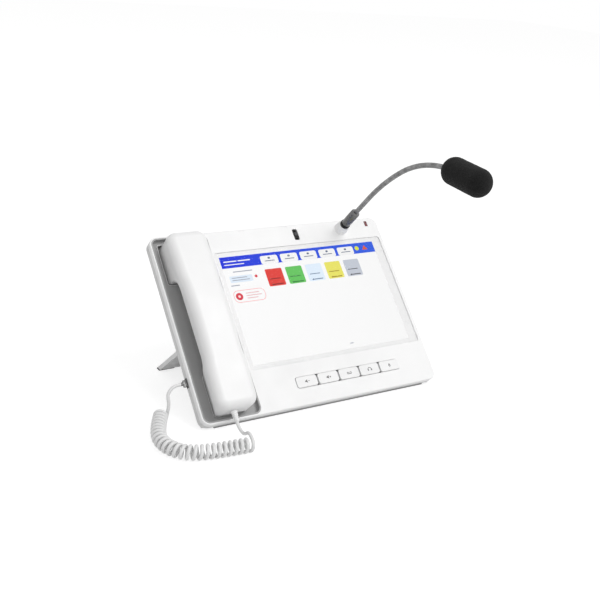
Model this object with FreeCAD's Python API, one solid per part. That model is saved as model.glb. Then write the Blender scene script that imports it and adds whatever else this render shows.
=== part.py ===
"""Desk paging console: a tilted touch panel with a corded handset, a gooseneck microphone and a stand."""
import FreeCAD, Part

import math
import os

Vector = FreeCAD.Vector
os.makedirs("parts", exist_ok=True)

# Panel case. Panel coordinates: x across from the middle, v up the panel from its front edge,
# w out of the face. All sizes are in millimetres and all angles in degrees.
case_depth = 15.0
corner_radius = 10.0
wall = 2.0
face_wall = 2.2
front_depth = 6.5
face_edge_round = 1.2
back_edge_round = 2.0
parting_groove = 0.6
tilt = 44.0
fit_gap = 0.15
edge_tolerance = 0.01

# Raised deck on the back, which holds the main board.
deck_side_inset = 31.5
deck_bottom = 105.5
deck_top_inset = 14.0
deck_depth = 15.0
deck_corner = 6.0

# Rubber feet under the bottom edge of the case and under the kickstand.
foot_chamfer = 3.5
sill = 3.0
foot_thickness = 2.0
front_foot_inset = 16.0
foot_edge = 0.5
stand_foot_length = 19.0

# Cradle for the handset, on the left of the face.
cradle_width = 69.2
cradle_wall = 1.5
cradle_floor_depth = 6.0
cradle_floor_wall = 1.3
well_back_gap = 0.2
well_side_gap = 0.6
ear_well_side_gap = 2.2
well_end_gap = 1.1
well_inner_gap = 2.4
well_corner = 2.5
well_rim = 1.0
well_rim_height = 0.8

# Display and its cover glass.
screen_width = 217.0
screen_height = 135.6
screen_bottom = 56.7
screen_cradle_gap = 7.25
screen_right_margin = 17.4
screen_top_margin = 33.7
glass_margin_side = 5.2
glass_margin_right = 12.6
glass_margin_end = 6.0
glass_thickness = 1.2
glass_corner = 4.0
window_margin = 2.0
module_margin_side = 4.8
module_margin_end = 5.6
module_depth = 5.2

# Two short slots in the rim above the display.
first_mark_place = 39.0
second_mark_place = 98.0
mark_length = 8.0
mark_width = 1.0
mark_top_margin = 2.0
mark_depth = 0.5

# Key row under the display.
key_count = 5
key_pitch = 28.8
key_gap = 1.8
key_height = 12.6
key_row_offset = 7.1
key_row_bottom = 20.6
key_slot_gap = 0.5
key_proud = 1.2
key_corner = 2.6
key_edge_round = 0.6
key_flange = 1.2
key_flange_reach = 1.2
key_play = 0.2
key_mat_thickness = 1.2
key_board_thickness = 1.6
key_board_level = 9.0
key_board_reach = 9.0
key_board_margin = 5.0
key_post_inset = 4.0
dome_radius = 3.6
dome_top_radius = 2.2
dome_height = 1.3

# Camera in its tilting drum.
camera_offset = 2.4
camera_top_margin = 14.0
camera_slot_width = 7.0
camera_slot_length = 15.0
drum_radius = 6.2
drum_width = 6.0
drum_round = 0.8
drum_side_gap = 0.3
drum_back_gap = 0.4
drum_pin_radius = 1.0
drum_pin_length = 1.6
camera_cheek = 1.2
camera_cheek_reach = 5.0
camera_back_gap = 0.2
lens_radius = 2.1
lens_depth = 1.2
running_gap = 0.05

# Indicator light.
indicator_right_margin = 17.0
indicator_top_margin = 8.5
indicator_width = 4.0
indicator_length = 7.0
indicator_proud = 0.3
indicator_depth = 6.0
indicator_flange = 1.0

# Gooseneck microphone. The neck stands square on the face and then bends forward.
neck_right_margin = 57.0
neck_top_margin = 12.5
socket_base_radius = 8.6
socket_top_radius = 6.8
socket_rise = 11.0
socket_stem_radius = 5.0
socket_stem_reach = 1.0
nut_thickness = 4.0
nut_flats = 16.5
collar_radius = 6.3
collar_length = 3.0
sleeve_radius = 5.7
sleeve_tip_radius = 3.9
sleeve_end = 43.0
sleeve_tip_length = 3.0
neck_radius = 3.0
bend_gap = 0.3
neck_straight_end = 75.0
neck_joint_spacing = 46.0
first_bend_radius = 300.0
first_bend_angle = 13.4
second_bend_radius = 150.0
head_angle = 50.5
housing_radius = 5.0
housing_length = 26.0
capsule_radius = 6.5
capsule_length = 10.0
windscreen_radius = 15.5
windscreen_length = 64.5
windscreen_rear_round = 13.0
windscreen_front_flat = 1.2
windscreen_lap = 15.5
windscreen_bore_gap = 0.2

# Handset, seated in the cradle.
handset_start = 7.5
handset_end_margin = 6.5
cup_width = 48.0
mouth_foot_width = 33.3
waist_depth = 1.6
waist_length = 16.0
waist_round = 60.0
mouth_corner = 12.0
ear_corner = 11.0
mouth_cup_length = 46.0
ear_cup_length = 50.0
cup_end_slope = 6.0
cup_end_level = 2.0
cup_end_round = 8.0
cup_inner_slope = 4.0
grip_underside = 11.0
cup_top = 25.0
grip_top = 32.0
arch_radius = 9.0
grip_back_round = 300.0
seat_gap = 0.3
handset_round = 9.0
cup_foot_round = 2.2
handset_wall = 3.3
least_corner = 1.0
smooth_edge_limit = 0.9
shell_split = 17.0
mouth_grille_radius = 11.0
ear_grille_radius = 15.0
grille_thickness = 1.6
grille_hole_radius = 0.9
grille_ring_pitch = 4.2
grille_rings = 2
mouth_capsule_radius = 10.0
ear_capsule_radius = 13.0
capsule_rim = 4.0
capsule_magnet_radius = 6.5
receiver_depth = 8.0
weight_length = 62.0
weight_width = 20.0
weight_thickness = 7.0
weight_corner = 2.0
weight_screw_gap = 7.0

# Hook switch plunger under the earpiece end.
plunger_radius = 2.5
plunger_travel = 4.0
plunger_length = 12.0
plunger_flange_radius = 4.0
plunger_flange = 1.2
plunger_end_gap = 24.0
plunger_seat_gap = 0.15
hook_switch_length = 14.0
hook_switch_width = 9.0
hook_bore_depth = 4.6
hook_side_gap = 1.05

# Curly cord. Wire and curl sizes, and the route of its parts on the table, measured across
# from the left edge of the case and backward from the front foot.
wire_diameter = 3.8
coil_outer_diameter = 16.5
coil_curls = 26
coil_rest_gap = 0.05
coil_end_turn = 0.75
boot_height = 11.5
boot_offset = -3.7
boot_radius = 3.9
boot_length = 12.0
boot_tip_radius = 2.6
coil_route = [(30.5, -60.5), (-7.5, -58.5), (-40.5, -49.5), (-53.5, -22.0), (-44.5, 7.0), (-29.5, 33.0)]
coil_arcs_per_turn = 4
bend_share = 0.45
handset_lead_points = [(33.5, -32.6, 7.8), (33.0, -39.5, 8.3)]
handset_lead_first_run = 6.0
handset_lead_last_run = 7.8
base_lead_points = [(-16.7, 34.5, 36.8), (-20.3, 34.0, 33.4), (-22.6, 33.2, 28.9)]
base_lead_first_run = 4.9
base_lead_last_run = 8.0

# Modular socket for the handset cord in the left side wall.
jack_height = 53.0
jack_width = 11.0
jack_thickness = 5.6
jack_length = 8.8
jack_cavity_width = 8.0
jack_cavity_height = 4.6
jack_cavity_depth = 7.8
base_plug_out = 4.0
base_boot_length = 3.2
base_boot_radius = 2.0

# Main board and what stands on it.
board_thickness = 1.6
board_right_gap = 1.0
board_speaker_gap = 7.0
board_end_gap = 5.0
board_top_gap = 5.5
post_radius = 3.5
post_inset = 6.0
shield_size = (60.0, 44.0, 3.4)
shield_inset = (25.3, 24.0)
socket_depth = 21.0
network_socket_width = 16.0
network_cavity = (11.8, 8.4, 12.0)
socket_pitch = 19.0
first_socket_inset = 16.5
power_inlet_width = 9.0
power_inlet_height = 11.0
power_bore_radius = 3.2
power_bore_depth = 9.0
power_pin_radius = 1.0
power_pin_length = 7.5
speaker_radius = 25.0
speaker_side_inset = 49.0
speaker_flange = 2.0
speaker_flange_width = 2.0
speaker_depth = 13.0
magnet_depth = 6.0
magnet_radius = 14.0
surround_width = 5.0
dish_floor_radius = 9.0
dish_depth = 4.0
slot_count = 9
slot_width = 2.4
slot_corner = 1.15
slot_pitch = 5.0
vent_count = 12
vent_length = 26.0
vent_board_inset = 30.0

# Kickstand on a pinned hinge below the deck.
stand_side_inset = 16.5
stand_thickness = 5.0
stand_angle = 40.0
hinge_deck_gap = 6.0
hinge_depth = 6.0
barrel_radius = 4.5
pin_radius = 2.0
pin_length = 35.0
bracket_width = 13.0
bracket_middle = 70.0
bracket_half_height = 5.0
bracket_side_gap = 0.3
stand_notch_reach = 10.0

# Screws.
case_screw_radius = 1.4
case_screw_head = 2.9
case_screw_head_height = 1.4
case_screw_length = 9.0
case_boss_radius = 3.5
case_screw_inset_x = 8.0
case_screw_inset_v = 8.5
case_screw_lamp_inset = 22.1
small_screw_radius = 1.1
small_screw_head = 2.1
small_screw_head_height = 1.3
small_screw_length = 5.0
bracket_screw_length = 3.4
screw_clearance = 0.2

screen_left = wall + fit_gap + cradle_width + screen_cradle_gap
panel_width = screen_left + screen_width + screen_right_margin
panel_height = screen_bottom + screen_height + screen_top_margin
left = -panel_width / 2
right = panel_width / 2
back = -case_depth
back_inside = back + wall
deck_width = panel_width - 2 * deck_side_inset
deck_top = panel_height - deck_top_inset
deck_back = back - deck_depth
deck_inside = deck_back + wall
sin_tilt = math.sin(math.radians(tilt))
cos_tilt = math.cos(math.radians(tilt))

# The flat cut on the bottom edge is centred on the origin, a foot's thickness above the table.
corner_height = foot_thickness - foot_chamfer
panel_origin_z = corner_height + case_depth * cos_tilt
chamfer_shift = foot_chamfer * (cos_tilt / sin_tilt - sin_tilt / cos_tilt) / 2
panel_origin_y = -case_depth * sin_tilt - chamfer_shift


def place(shape):
    """Panel coordinates to the table's frame."""
    placed = shape.copy()
    placed.rotate(Vector(0, 0, 0), Vector(1, 0, 0), tilt)
    placed.translate(Vector(0, panel_origin_y, panel_origin_z))
    return placed


def place_point(x, v, w):
    y = panel_origin_y + v * cos_tilt - w * sin_tilt
    z = panel_origin_z + v * sin_tilt + w * cos_tilt
    return Vector(x, y, z)


def save(name, shape):
    shape.exportStep("parts/" + name + ".step")


def block(x0, x1, v0, v1, w0, w1):
    return Part.makeBox(x1 - x0, v1 - v0, w1 - w0, Vector(x0, v0, w0))


def outline(x0, x1, v0, v1, w, radius):
    """Closed rectangle with round corners at level w."""
    k = radius * (1 - math.sqrt(0.5))
    corners = [
        ((x1 - radius, v0), (x1 - k, v0 + k), (x1, v0 + radius)),
        ((x1, v1 - radius), (x1 - k, v1 - k), (x1 - radius, v1)),
        ((x0 + radius, v1), (x0 + k, v1 - k), (x0, v1 - radius)),
        ((x0, v0 + radius), (x0 + k, v0 + k), (x0 + radius, v0)),
   ]
    edges = []
    for number, (start, middle, end) in enumerate(corners):
        points = [Vector(px, pv, w) for px, pv in (start, middle, end)]
        edges.append(Part.Arc(*points).toShape())
        following = corners[(number + 1) % 4][0]
        edges.append(Part.LineSegment(points[2], Vector(following[0], following[1], w)).toShape())
    return Part.Wire(edges)


def plate(x0, x1, v0, v1, w0, w1, radius):
    """Prism with round corners between the levels w0 and w1."""
    return Part.Face(outline(x0, x1, v0, v1, w0, radius)).extrude(Vector(0, 0, w1 - w0))


def post(x, v, w0, w1, radius):
    return Part.makeCylinder(radius, w1 - w0, Vector(x, v, w0))


def edges_at(shape, w, x0, x1, v0, v1):
    """Edges that lie flat at level w inside a rectangle."""
    found = []
    for edge in shape.Edges:
        box = edge.BoundBox
        flat = abs(box.ZMin - w) < edge_tolerance and abs(box.ZMax - w) < edge_tolerance
        across = box.XMin > x0 - edge_tolerance and box.XMax < x1 + edge_tolerance
        inside = across and box.YMin > v0 - edge_tolerance and box.YMax < v1 + edge_tolerance
        if flat and inside:
            found.append(edge)
    return found


def screw(x, v, head_level, direction, radius, head_radius, head_height, length):
    """Pan head screw. direction is +1 where the shank points out of the face, or -1."""
    along = Vector(0, 0, direction)
    head = Part.makeCylinder(head_radius, head_height, Vector(x, v, head_level), along)
    shank = Part.makeCylinder(radius, length + head_height, Vector(x, v, head_level), along)
    return head.fuse(shank).removeSplitter()


def group(shapes):
    return Part.makeCompound(shapes)


# Places on the panel that several pieces share.
cradle_x0 = left + wall + fit_gap
cradle_x1 = cradle_x0 + cradle_width
cradle_v0 = wall + fit_gap
cradle_v1 = panel_height - wall - fit_gap
handset_x = (cradle_x0 + cradle_x1) / 2
handset_end = panel_height - handset_end_margin
grip_width = cup_width - 2 * waist_depth
well_depth = case_depth - wall - cradle_floor_wall - well_back_gap
cup_bottom = -well_depth + seat_gap
rim_level = well_rim_height - cradle_floor_depth
cup_end_at_rim = cup_end_slope * (cup_end_level - rim_level) / (cup_end_level - cup_bottom)
mouth_taper = (cup_width - mouth_foot_width) / 2 / (grip_underside - cup_bottom)
mouth_half_at_rim = mouth_foot_width / 2 + mouth_taper * (rim_level - cup_bottom)

# The two wells as their ends along the panel and half their width.
wells = [
    (handset_start + cup_end_at_rim - well_end_gap, handset_start + mouth_cup_length + well_inner_gap,
     mouth_half_at_rim + well_side_gap),
    (handset_end - ear_cup_length - well_inner_gap, handset_end - cup_end_at_rim + well_end_gap,
     cup_width / 2 + ear_well_side_gap),
]
cradle_corner = corner_radius - wall - fit_gap
screen_x0 = left + screen_left
screen_x1 = screen_x0 + screen_width
screen_v0 = screen_bottom
screen_v1 = screen_v0 + screen_height
screen_middle = (screen_x0 + screen_x1) / 2
glass_x0 = screen_x0 - glass_margin_side
glass_x1 = screen_x1 + glass_margin_right
glass_v0 = screen_v0 - glass_margin_end
glass_v1 = screen_v1 + glass_margin_end
module_x0 = screen_x0 - module_margin_side
module_x1 = screen_x1 + module_margin_side
module_v0 = screen_v0 - module_margin_end
module_v1 = screen_v1 + module_margin_end
key_row_x = screen_middle + key_row_offset
key_centres = [key_row_x + (number - (key_count - 1) / 2) * key_pitch for number in range(key_count)]
key_v0 = key_row_bottom
key_v1 = key_row_bottom + key_height
key_row_half = (key_count * key_pitch - key_gap) / 2
key_board_half = key_row_half + key_board_reach
key_board_v0 = key_v0 - key_board_margin
key_board_v1 = key_v1 + key_board_margin
key_post_x = [key_row_x - key_board_half + key_post_inset, key_row_x + key_board_half - key_post_inset]
key_post_v = (key_board_v0 + key_board_v1) / 2
camera_x = screen_middle + camera_offset
camera_height = panel_height - camera_top_margin
drum_axis_depth = case_depth - wall - camera_back_gap - camera_cheek - drum_back_gap - drum_radius
indicator_x = right - indicator_right_margin
indicator_height = panel_height - indicator_top_margin
neck_x = right - neck_right_margin
neck_height = panel_height - neck_top_margin
case_screw_points = [
    (cradle_x1 + case_screw_inset_x, case_screw_inset_v),
    (right - case_screw_inset_x, case_screw_inset_v),
    (cradle_x1 + case_screw_inset_x, panel_height - case_screw_inset_v),
    (right - case_screw_inset_x, panel_height - case_screw_lamp_inset),
]
speaker_middle = speaker_side_inset - deck_width / 2
speaker_height = (deck_bottom + deck_top) / 2
board_x0 = speaker_middle + speaker_radius + board_speaker_gap
board_x1 = deck_width / 2 - wall - board_right_gap
board_v0 = deck_bottom + wall + board_end_gap
board_v1 = deck_top - wall - board_top_gap
board_top = back_inside
board_under = board_top - board_thickness
board_posts = [
    (px, pv)
    for px in (board_x0 + post_inset, board_x1 - socket_depth - post_inset)
    for pv in (board_v0 + post_inset, board_v1 - post_inset)
]
first_socket_height = deck_bottom + first_socket_inset
network_heights = [first_socket_height, first_socket_height + socket_pitch]
power_height = first_socket_height + 2 * socket_pitch
socket_mouth = deck_width / 2
bracket_centres = [-bracket_middle, bracket_middle]
hinge_level = back - hinge_depth
hinge_height = deck_bottom - hinge_deck_gap
stand_width = panel_width - 2 * stand_side_inset
jack_level = case_depth - wall - jack_thickness
plunger_x = wall + hook_side_gap + hook_switch_length / 2 - deck_width / 2
plunger_height = handset_end - plunger_end_gap
plunger_top = -well_depth


def make_front_shell():
    """Face plate with its side walls, every opening in the face and the screw bosses."""
    outer = plate(left, right, 0, panel_height, -front_depth, 0, corner_radius)
    outer = outer.makeFillet(face_edge_round, edges_at(outer, 0, left, right, 0, panel_height))
    hollow = plate(left + wall, right - wall, wall, panel_height - wall, -front_depth, -face_wall,
                   corner_radius - wall)
    shell = outer.cut(hollow)
    ring = plate(left, right, 0, panel_height, -front_depth, parting_groove - front_depth, corner_radius)
    ring = ring.cut(plate(left + parting_groove, right - parting_groove, parting_groove,
                          panel_height - parting_groove, -front_depth, parting_groove - front_depth,
                          corner_radius - parting_groove))
    shell = shell.cut(ring)
    for x, v in case_screw_points:
        shell = shell.fuse(post(x, v, back_inside, -face_wall, case_boss_radius))
        shell = shell.cut(post(x, v, back_inside, back_inside + case_screw_length, case_screw_radius))
    cradle_hole = plate(cradle_x0 - fit_gap, cradle_x1 + fit_gap, cradle_v0 - fit_gap, cradle_v1 + fit_gap,
                        -front_depth, face_wall, cradle_corner + fit_gap)
    shell = shell.cut(cradle_hole)
    pocket = plate(glass_x0 - fit_gap, glass_x1 + fit_gap, glass_v0 - fit_gap, glass_v1 + fit_gap,
                   -glass_thickness, face_wall, glass_corner + fit_gap)
    window = plate(screen_x0 - window_margin, screen_x1 + window_margin, screen_v0 - window_margin,
                   screen_v1 + window_margin, -face_wall, face_wall, window_margin)
    shell = shell.cut(pocket).cut(window)
    key_slot = plate(key_row_x - key_row_half - key_slot_gap, key_row_x + key_row_half + key_slot_gap,
                     key_v0 - key_slot_gap, key_v1 + key_slot_gap, -face_wall, face_wall,
                     key_corner + key_slot_gap)
    shell = shell.cut(key_slot)
    slot_half = camera_slot_width / 2
    camera_slot = plate(camera_x - slot_half, camera_x + slot_half, camera_height - camera_slot_length / 2,
                        camera_height + camera_slot_length / 2, -face_wall, face_wall, slot_half / 2)
    shell = shell.cut(camera_slot)
    indicator_hole = block(indicator_x - indicator_width / 2 - fit_gap,
                           indicator_x + indicator_width / 2 + fit_gap,
                           indicator_height - indicator_length / 2 - fit_gap,
                           indicator_height + indicator_length / 2 + fit_gap, -face_wall, face_wall)
    shell = shell.cut(indicator_hole)
    shell = shell.cut(post(neck_x, neck_height, -face_wall, face_wall, socket_stem_radius + fit_gap))
    mark_top = panel_height - mark_top_margin
    for x in (screen_x0 + first_mark_place, screen_x0 + second_mark_place):
        mark = block(x - mark_length / 2, x + mark_length / 2, mark_top - mark_width, mark_top, -mark_depth,
                     face_wall)
        shell = shell.cut(mark)
    return shell


def make_rear_cover():
    """Back of the case with its raised deck, posts, socket holes and speaker slots."""
    outer = plate(left, right, 0, panel_height, back, -front_depth, corner_radius)
    outer = outer.makeFillet(back_edge_round, edges_at(outer, back, left, right, 0, panel_height))
    deck = plate(-deck_width / 2, deck_width / 2, deck_bottom, deck_top, deck_back, back_inside, deck_corner)
    deck = deck.makeFillet(back_edge_round, edges_at(deck, deck_back, -deck_width / 2, deck_width / 2,
                                                     deck_bottom, deck_top))
    cover = outer.fuse(deck)
    cover = cover.cut(plate(left + wall, right - wall, wall, panel_height - wall, back_inside, -front_depth,
                            corner_radius - wall))
    cover = cover.cut(plate(-deck_width / 2 + wall, deck_width / 2 - wall,
                            deck_bottom + wall, deck_top - wall,
                            deck_inside, back_inside, deck_corner - wall))
    for x, v in board_posts:
        cover = cover.fuse(post(x, v, deck_inside, board_under, post_radius))
        cover = cover.cut(post(x, v, board_under - small_screw_length, board_under, small_screw_radius))
    cover = cover.fuse(block(left + wall, right - wall, wall, wall + sill, back_inside, back_inside + sill))
    for x in key_post_x:
        cover = cover.fuse(post(x, key_post_v, back_inside, -key_board_level, post_radius))
        cover = cover.cut(post(x, key_post_v, back_inside, -key_board_level, small_screw_radius))
    for x, v in case_screw_points:
        cover = cover.cut(post(x, v, back, back_inside, case_screw_radius + screw_clearance))
        cover = cover.cut(post(x, v, back, back + wall / 2, case_screw_head + screw_clearance))
    for x in bracket_centres:
        for side in (-1, 1):
            hole = post(x + side * bracket_width / 4, hinge_height, back, back_inside, small_screw_radius)
            cover = cover.cut(hole)
    for v in network_heights:
        cover = cover.cut(block(socket_mouth - wall, socket_mouth, v - network_socket_width / 2 - fit_gap,
                                v + network_socket_width / 2 + fit_gap, deck_inside, board_under))
    cover = cover.cut(block(socket_mouth - wall, socket_mouth,
                            power_height - power_inlet_width / 2 - fit_gap,
                            power_height + power_inlet_width / 2 + fit_gap,
                            board_under - power_inlet_height - fit_gap, board_under))
    jack_hole = block(left, left + wall, jack_height - jack_width / 2 - fit_gap,
                      jack_height + jack_width / 2 + fit_gap, -jack_level - jack_thickness - fit_gap,
                      -jack_level + fit_gap)
    cover = cover.cut(jack_hole)
    for number in range(slot_count):
        offset = (number - (slot_count - 1) / 2) * slot_pitch
        half = math.sqrt((speaker_radius - slot_pitch) ** 2 - offset ** 2)
        x = speaker_middle + offset
        cover = cover.cut(plate(x - slot_width / 2, x + slot_width / 2,
                                speaker_height - half, speaker_height + half, deck_back, deck_inside,
                                slot_corner))
    for number in range(vent_count):
        x = board_x0 + vent_board_inset + number * slot_pitch
        cover = cover.cut(plate(x - slot_width / 2, x + slot_width / 2, speaker_height - vent_length / 2,
                                speaker_height + vent_length / 2, deck_back, deck_inside, slot_corner))
    cover = place(cover)
    below = Part.makeBox(2 * panel_width, 4 * case_depth, 4 * case_depth,
                         Vector(-panel_width, -2 * case_depth, foot_thickness - 4 * case_depth))
    return cover.cut(below)


def well(sizes, inset, w0, w1):
    start, end, half = sizes
    half -= inset
    return plate(handset_x - half, handset_x + half, start + inset, end - inset, w0, w1, well_corner - inset)


def make_cradle():
    """Tray with two wells for the ends of the handset."""
    tray = plate(cradle_x0, cradle_x1, cradle_v0, cradle_v1, -cradle_floor_depth - cradle_floor_wall, 0,
                 cradle_corner)
    for sizes in wells:
        tray = tray.fuse(well(sizes, -cradle_floor_wall, -well_depth - cradle_floor_wall,
                              -cradle_floor_depth - cradle_floor_wall))
    tray = tray.cut(plate(cradle_x0 + cradle_wall, cradle_x1 - cradle_wall, cradle_v0 + cradle_wall,
                          cradle_v1 - cradle_wall, -cradle_floor_depth, 0, cradle_corner - cradle_wall))
    for sizes in wells:
        tray = tray.fuse(well(sizes, -well_rim, -cradle_floor_depth, rim_level))
        tray = tray.cut(well(sizes, 0, -well_depth, 0))
    return tray.cut(post(plunger_x, plunger_height, -well_depth - cradle_floor_wall, -well_depth,
                         plunger_radius + fit_gap))


def make_key(x):
    """Key cap with a flange behind the face plate and a stem over its dome."""
    half = (key_pitch - key_gap) / 2
    cap = plate(x - half, x + half, key_v0, key_v1, -face_wall - key_play, key_proud, key_corner)
    cap = cap.makeFillet(key_edge_round, edges_at(cap, key_proud, x - half, x + half, key_v0, key_v1))
    flange_top = -face_wall - key_play
    flange = block(x - half + key_corner, x + half - key_corner, key_v0 - key_flange_reach - key_slot_gap,
                   key_v1 + key_flange_reach + key_slot_gap, flange_top - key_flange, flange_top)
    return cap.fuse(flange).removeSplitter()


def make_key_mat():
    mat_top = key_board_thickness + key_mat_thickness - key_board_level
    mat = block(key_row_x - key_row_half, key_row_x + key_row_half, key_board_v0, key_board_v1,
                key_board_thickness - key_board_level, mat_top)
    for x in key_centres:
        dome = Part.makeCone(dome_radius, dome_top_radius, dome_height,
                             Vector(x, (key_v0 + key_v1) / 2, mat_top))
        mat = mat.fuse(dome)
    return mat


def make_key_board():
    board = block(key_row_x - key_board_half, key_row_x + key_board_half, key_board_v0, key_board_v1,
                  -key_board_level, key_board_thickness - key_board_level)
    for x in key_post_x:
        board = board.cut(post(x, key_post_v, -key_board_level, key_board_thickness - key_board_level,
                               small_screw_radius + screw_clearance))
    return board


def make_camera():
    """Drum that turns about x, its lens, and the bracket that carries its pins."""
    drum = Part.makeCylinder(drum_radius, drum_width, Vector(camera_x - drum_width / 2, camera_height,
                                                             -drum_axis_depth), Vector(1, 0, 0))
    rim = [edge for edge in drum.Edges if edge.Length > 6 * drum_radius and edge.Closed]
    drum = drum.makeFillet(drum_round, rim)
    pin = Part.makeCylinder(drum_pin_radius, drum_width + 2 * drum_pin_length,
                            Vector(camera_x - drum_width / 2 - drum_pin_length, camera_height,
                                   -drum_axis_depth), Vector(1, 0, 0))
    lens_base = drum_radius - drum_axis_depth - lens_depth
    lens = post(camera_x, camera_height, lens_base, lens_base + lens_depth, lens_radius)
    drum = drum.fuse(pin).cut(lens)
    cheek_in = drum_width / 2 + drum_side_gap
    bracket_low = back_inside + camera_back_gap
    bracket = block(camera_x - cheek_in - camera_cheek, camera_x + cheek_in + camera_cheek,
                    camera_height - camera_cheek_reach, camera_height + camera_cheek_reach,
                    bracket_low, -face_wall)
    bracket = bracket.cut(block(camera_x - cheek_in, camera_x + cheek_in, camera_height - 2 * drum_radius,
                                camera_height + 2 * drum_radius, bracket_low + camera_cheek, -face_wall))
    bracket = bracket.cut(Part.makeCylinder(drum_pin_radius + running_gap, 4 * drum_width,
                                            Vector(camera_x - 2 * drum_width, camera_height,
                                                   -drum_axis_depth),
                                            Vector(1, 0, 0)))
    return drum, lens, bracket


def make_indicator():
    rod = block(indicator_x - indicator_width / 2, indicator_x + indicator_width / 2,
                indicator_height - indicator_length / 2, indicator_height + indicator_length / 2,
                -indicator_depth, indicator_proud)
    flange = block(indicator_x - indicator_width / 2 - indicator_flange,
                   indicator_x + indicator_width / 2 + indicator_flange,
                   indicator_height - indicator_length / 2 - indicator_flange,
                   indicator_height + indicator_length / 2 + indicator_flange,
                   -face_wall - indicator_flange, -face_wall)
    return rod.fuse(flange)


def neck_vector(angle):
    """Direction of the neck in panel coordinates, angle degrees forward of square to the face."""
    return Vector(0, -math.sin(math.radians(angle)), math.cos(math.radians(angle)))


# The neck's middle line as lengths of (length, radius), straight first.
neck_runs = [
    (neck_straight_end, None),
    (math.radians(first_bend_angle) * first_bend_radius, first_bend_radius),
    (math.radians(head_angle - first_bend_angle) * second_bend_radius, second_bend_radius),
]
neck_length = sum(length for length, radius in neck_runs)


def neck_at(distance):
    """Point and angle on the neck's middle line, distance from the face."""
    point, angle = Vector(neck_x, neck_height, 0), 0.0
    for length, radius in neck_runs:
        step = min(distance, length)
        if radius is None:
            point = point + neck_vector(angle) * step
        else:
            a0 = math.radians(angle)
            a1 = a0 + step / radius
            down, out = math.cos(a1) - math.cos(a0), math.sin(a1) - math.sin(a0)
            point = point + Vector(0, radius * down, radius * out)
            angle = math.degrees(a1)
        distance -= step
    return point, angle


def neck_bar(start, end, radius):
    """Round bar along the neck's middle line."""
    breaks = [start]
    passed = 0.0
    for length, bend in neck_runs:
        passed += length
        if start < passed < end:
            breaks.append(passed)
    breaks.append(end)
    edges = []
    for first, last in zip(breaks, breaks[1:]):
        points = [neck_at(distance)[0] for distance in (first, (first + last) / 2, last)]
        if last <= neck_straight_end:
            edges.append(Part.LineSegment(points[0], points[2]).toShape())
        else:
            edges.append(Part.Arc(*points).toShape())
    point, angle = neck_at(start)
    circle = Part.Wire(Part.makeCircle(radius, point, neck_vector(angle)))
    return Part.Wire(edges).makePipeShell([circle], True, False)


first_joint = sleeve_end + neck_radius + bend_gap
neck_joints = [first_joint + number * neck_joint_spacing for number in range(3)]
neck_end, end_angle = neck_at(neck_length)
head_direction = neck_vector(end_angle)
windscreen_start = neck_end - head_direction * windscreen_lap


def make_neck():
    """Three lengths of gooseneck. Each starts in a ball at the point where it bends."""
    ends = [joint - neck_radius - bend_gap for joint in neck_joints[1:]] + [neck_length]
    lengths = []
    for start, end in zip(neck_joints, ends):
        bar = neck_bar(start, end, neck_radius)
        lengths.append(bar.fuse(Part.makeSphere(neck_radius, neck_at(start)[0])).removeSplitter())
    return lengths


def round_end(solid, centre, radius):
    """Fillet on the one closed edge about centre."""
    found = [edge for edge in solid.Edges if edge.Closed and edge.CenterOfMass.distanceToPoint(centre) < 0.5]
    return solid.makeFillet(radius, found[:1])


def make_microphone():
    """Housing, capsule and the foam windscreen, which reaches back over the end of the neck."""
    housing = Part.makeCylinder(housing_radius, housing_length, neck_end, head_direction)
    capsule_start = neck_end + head_direction * housing_length
    capsule = Part.makeCylinder(capsule_radius, capsule_length, capsule_start, head_direction)
    foam = Part.makeCylinder(windscreen_radius, windscreen_length, windscreen_start, head_direction)
    foam = round_end(foam, windscreen_start, windscreen_rear_round)
    foam = round_end(foam, windscreen_start + head_direction * windscreen_length,
                     windscreen_radius - windscreen_front_flat)
    bore = neck_bar(neck_length - 2 * windscreen_lap, neck_length, neck_radius + windscreen_bore_gap)
    return housing, capsule, foam.cut(housing).cut(capsule).cut(bore)


def make_socket():
    """Cone-shaped boss on the face, its stem, the nut behind the plate, the collar and the sleeve."""
    boss = Part.makeCone(socket_base_radius, socket_top_radius, socket_rise, Vector(neck_x, neck_height, 0))
    stem = post(neck_x, neck_height, -face_wall - nut_thickness - socket_stem_reach, 0, socket_stem_radius)
    boss = boss.fuse(stem).removeSplitter()
    corner = nut_flats / math.sqrt(3)
    points = [Vector(neck_x + corner * math.cos(math.radians(60 * k)),
                     neck_height + corner * math.sin(math.radians(60 * k)), -face_wall - nut_thickness)
              for k in range(7)]
    nut = Part.Face(Part.makePolygon(points)).extrude(Vector(0, 0, nut_thickness))
    nut = nut.cut(post(neck_x, neck_height, -face_wall - nut_thickness, -face_wall, socket_stem_radius))
    collar = post(neck_x, neck_height, socket_rise, socket_rise + collar_length, collar_radius)
    sleeve_start = socket_rise + collar_length
    tube = post(neck_x, neck_height, sleeve_start, sleeve_end - sleeve_tip_length, sleeve_radius)
    tip = Part.makeCone(sleeve_radius, sleeve_tip_radius, sleeve_tip_length,
                        Vector(neck_x, neck_height, sleeve_end - sleeve_tip_length))
    return boss, nut, collar, tube.fuse(tip)


# The handset lies along the cradle, with its cups in the wells.
mouth_cup_middle = handset_start + (mouth_cup_length + cup_end_slope) / 2
ear_cup_middle = handset_end - (ear_cup_length + cup_end_slope) / 2
handset_middle = (handset_start + handset_end) / 2
cups = [
    ("mouthpiece", mouth_cup_middle, mouth_grille_radius, mouth_capsule_radius),
    ("earpiece", ear_cup_middle, ear_grille_radius, ear_capsule_radius),
]


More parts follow.
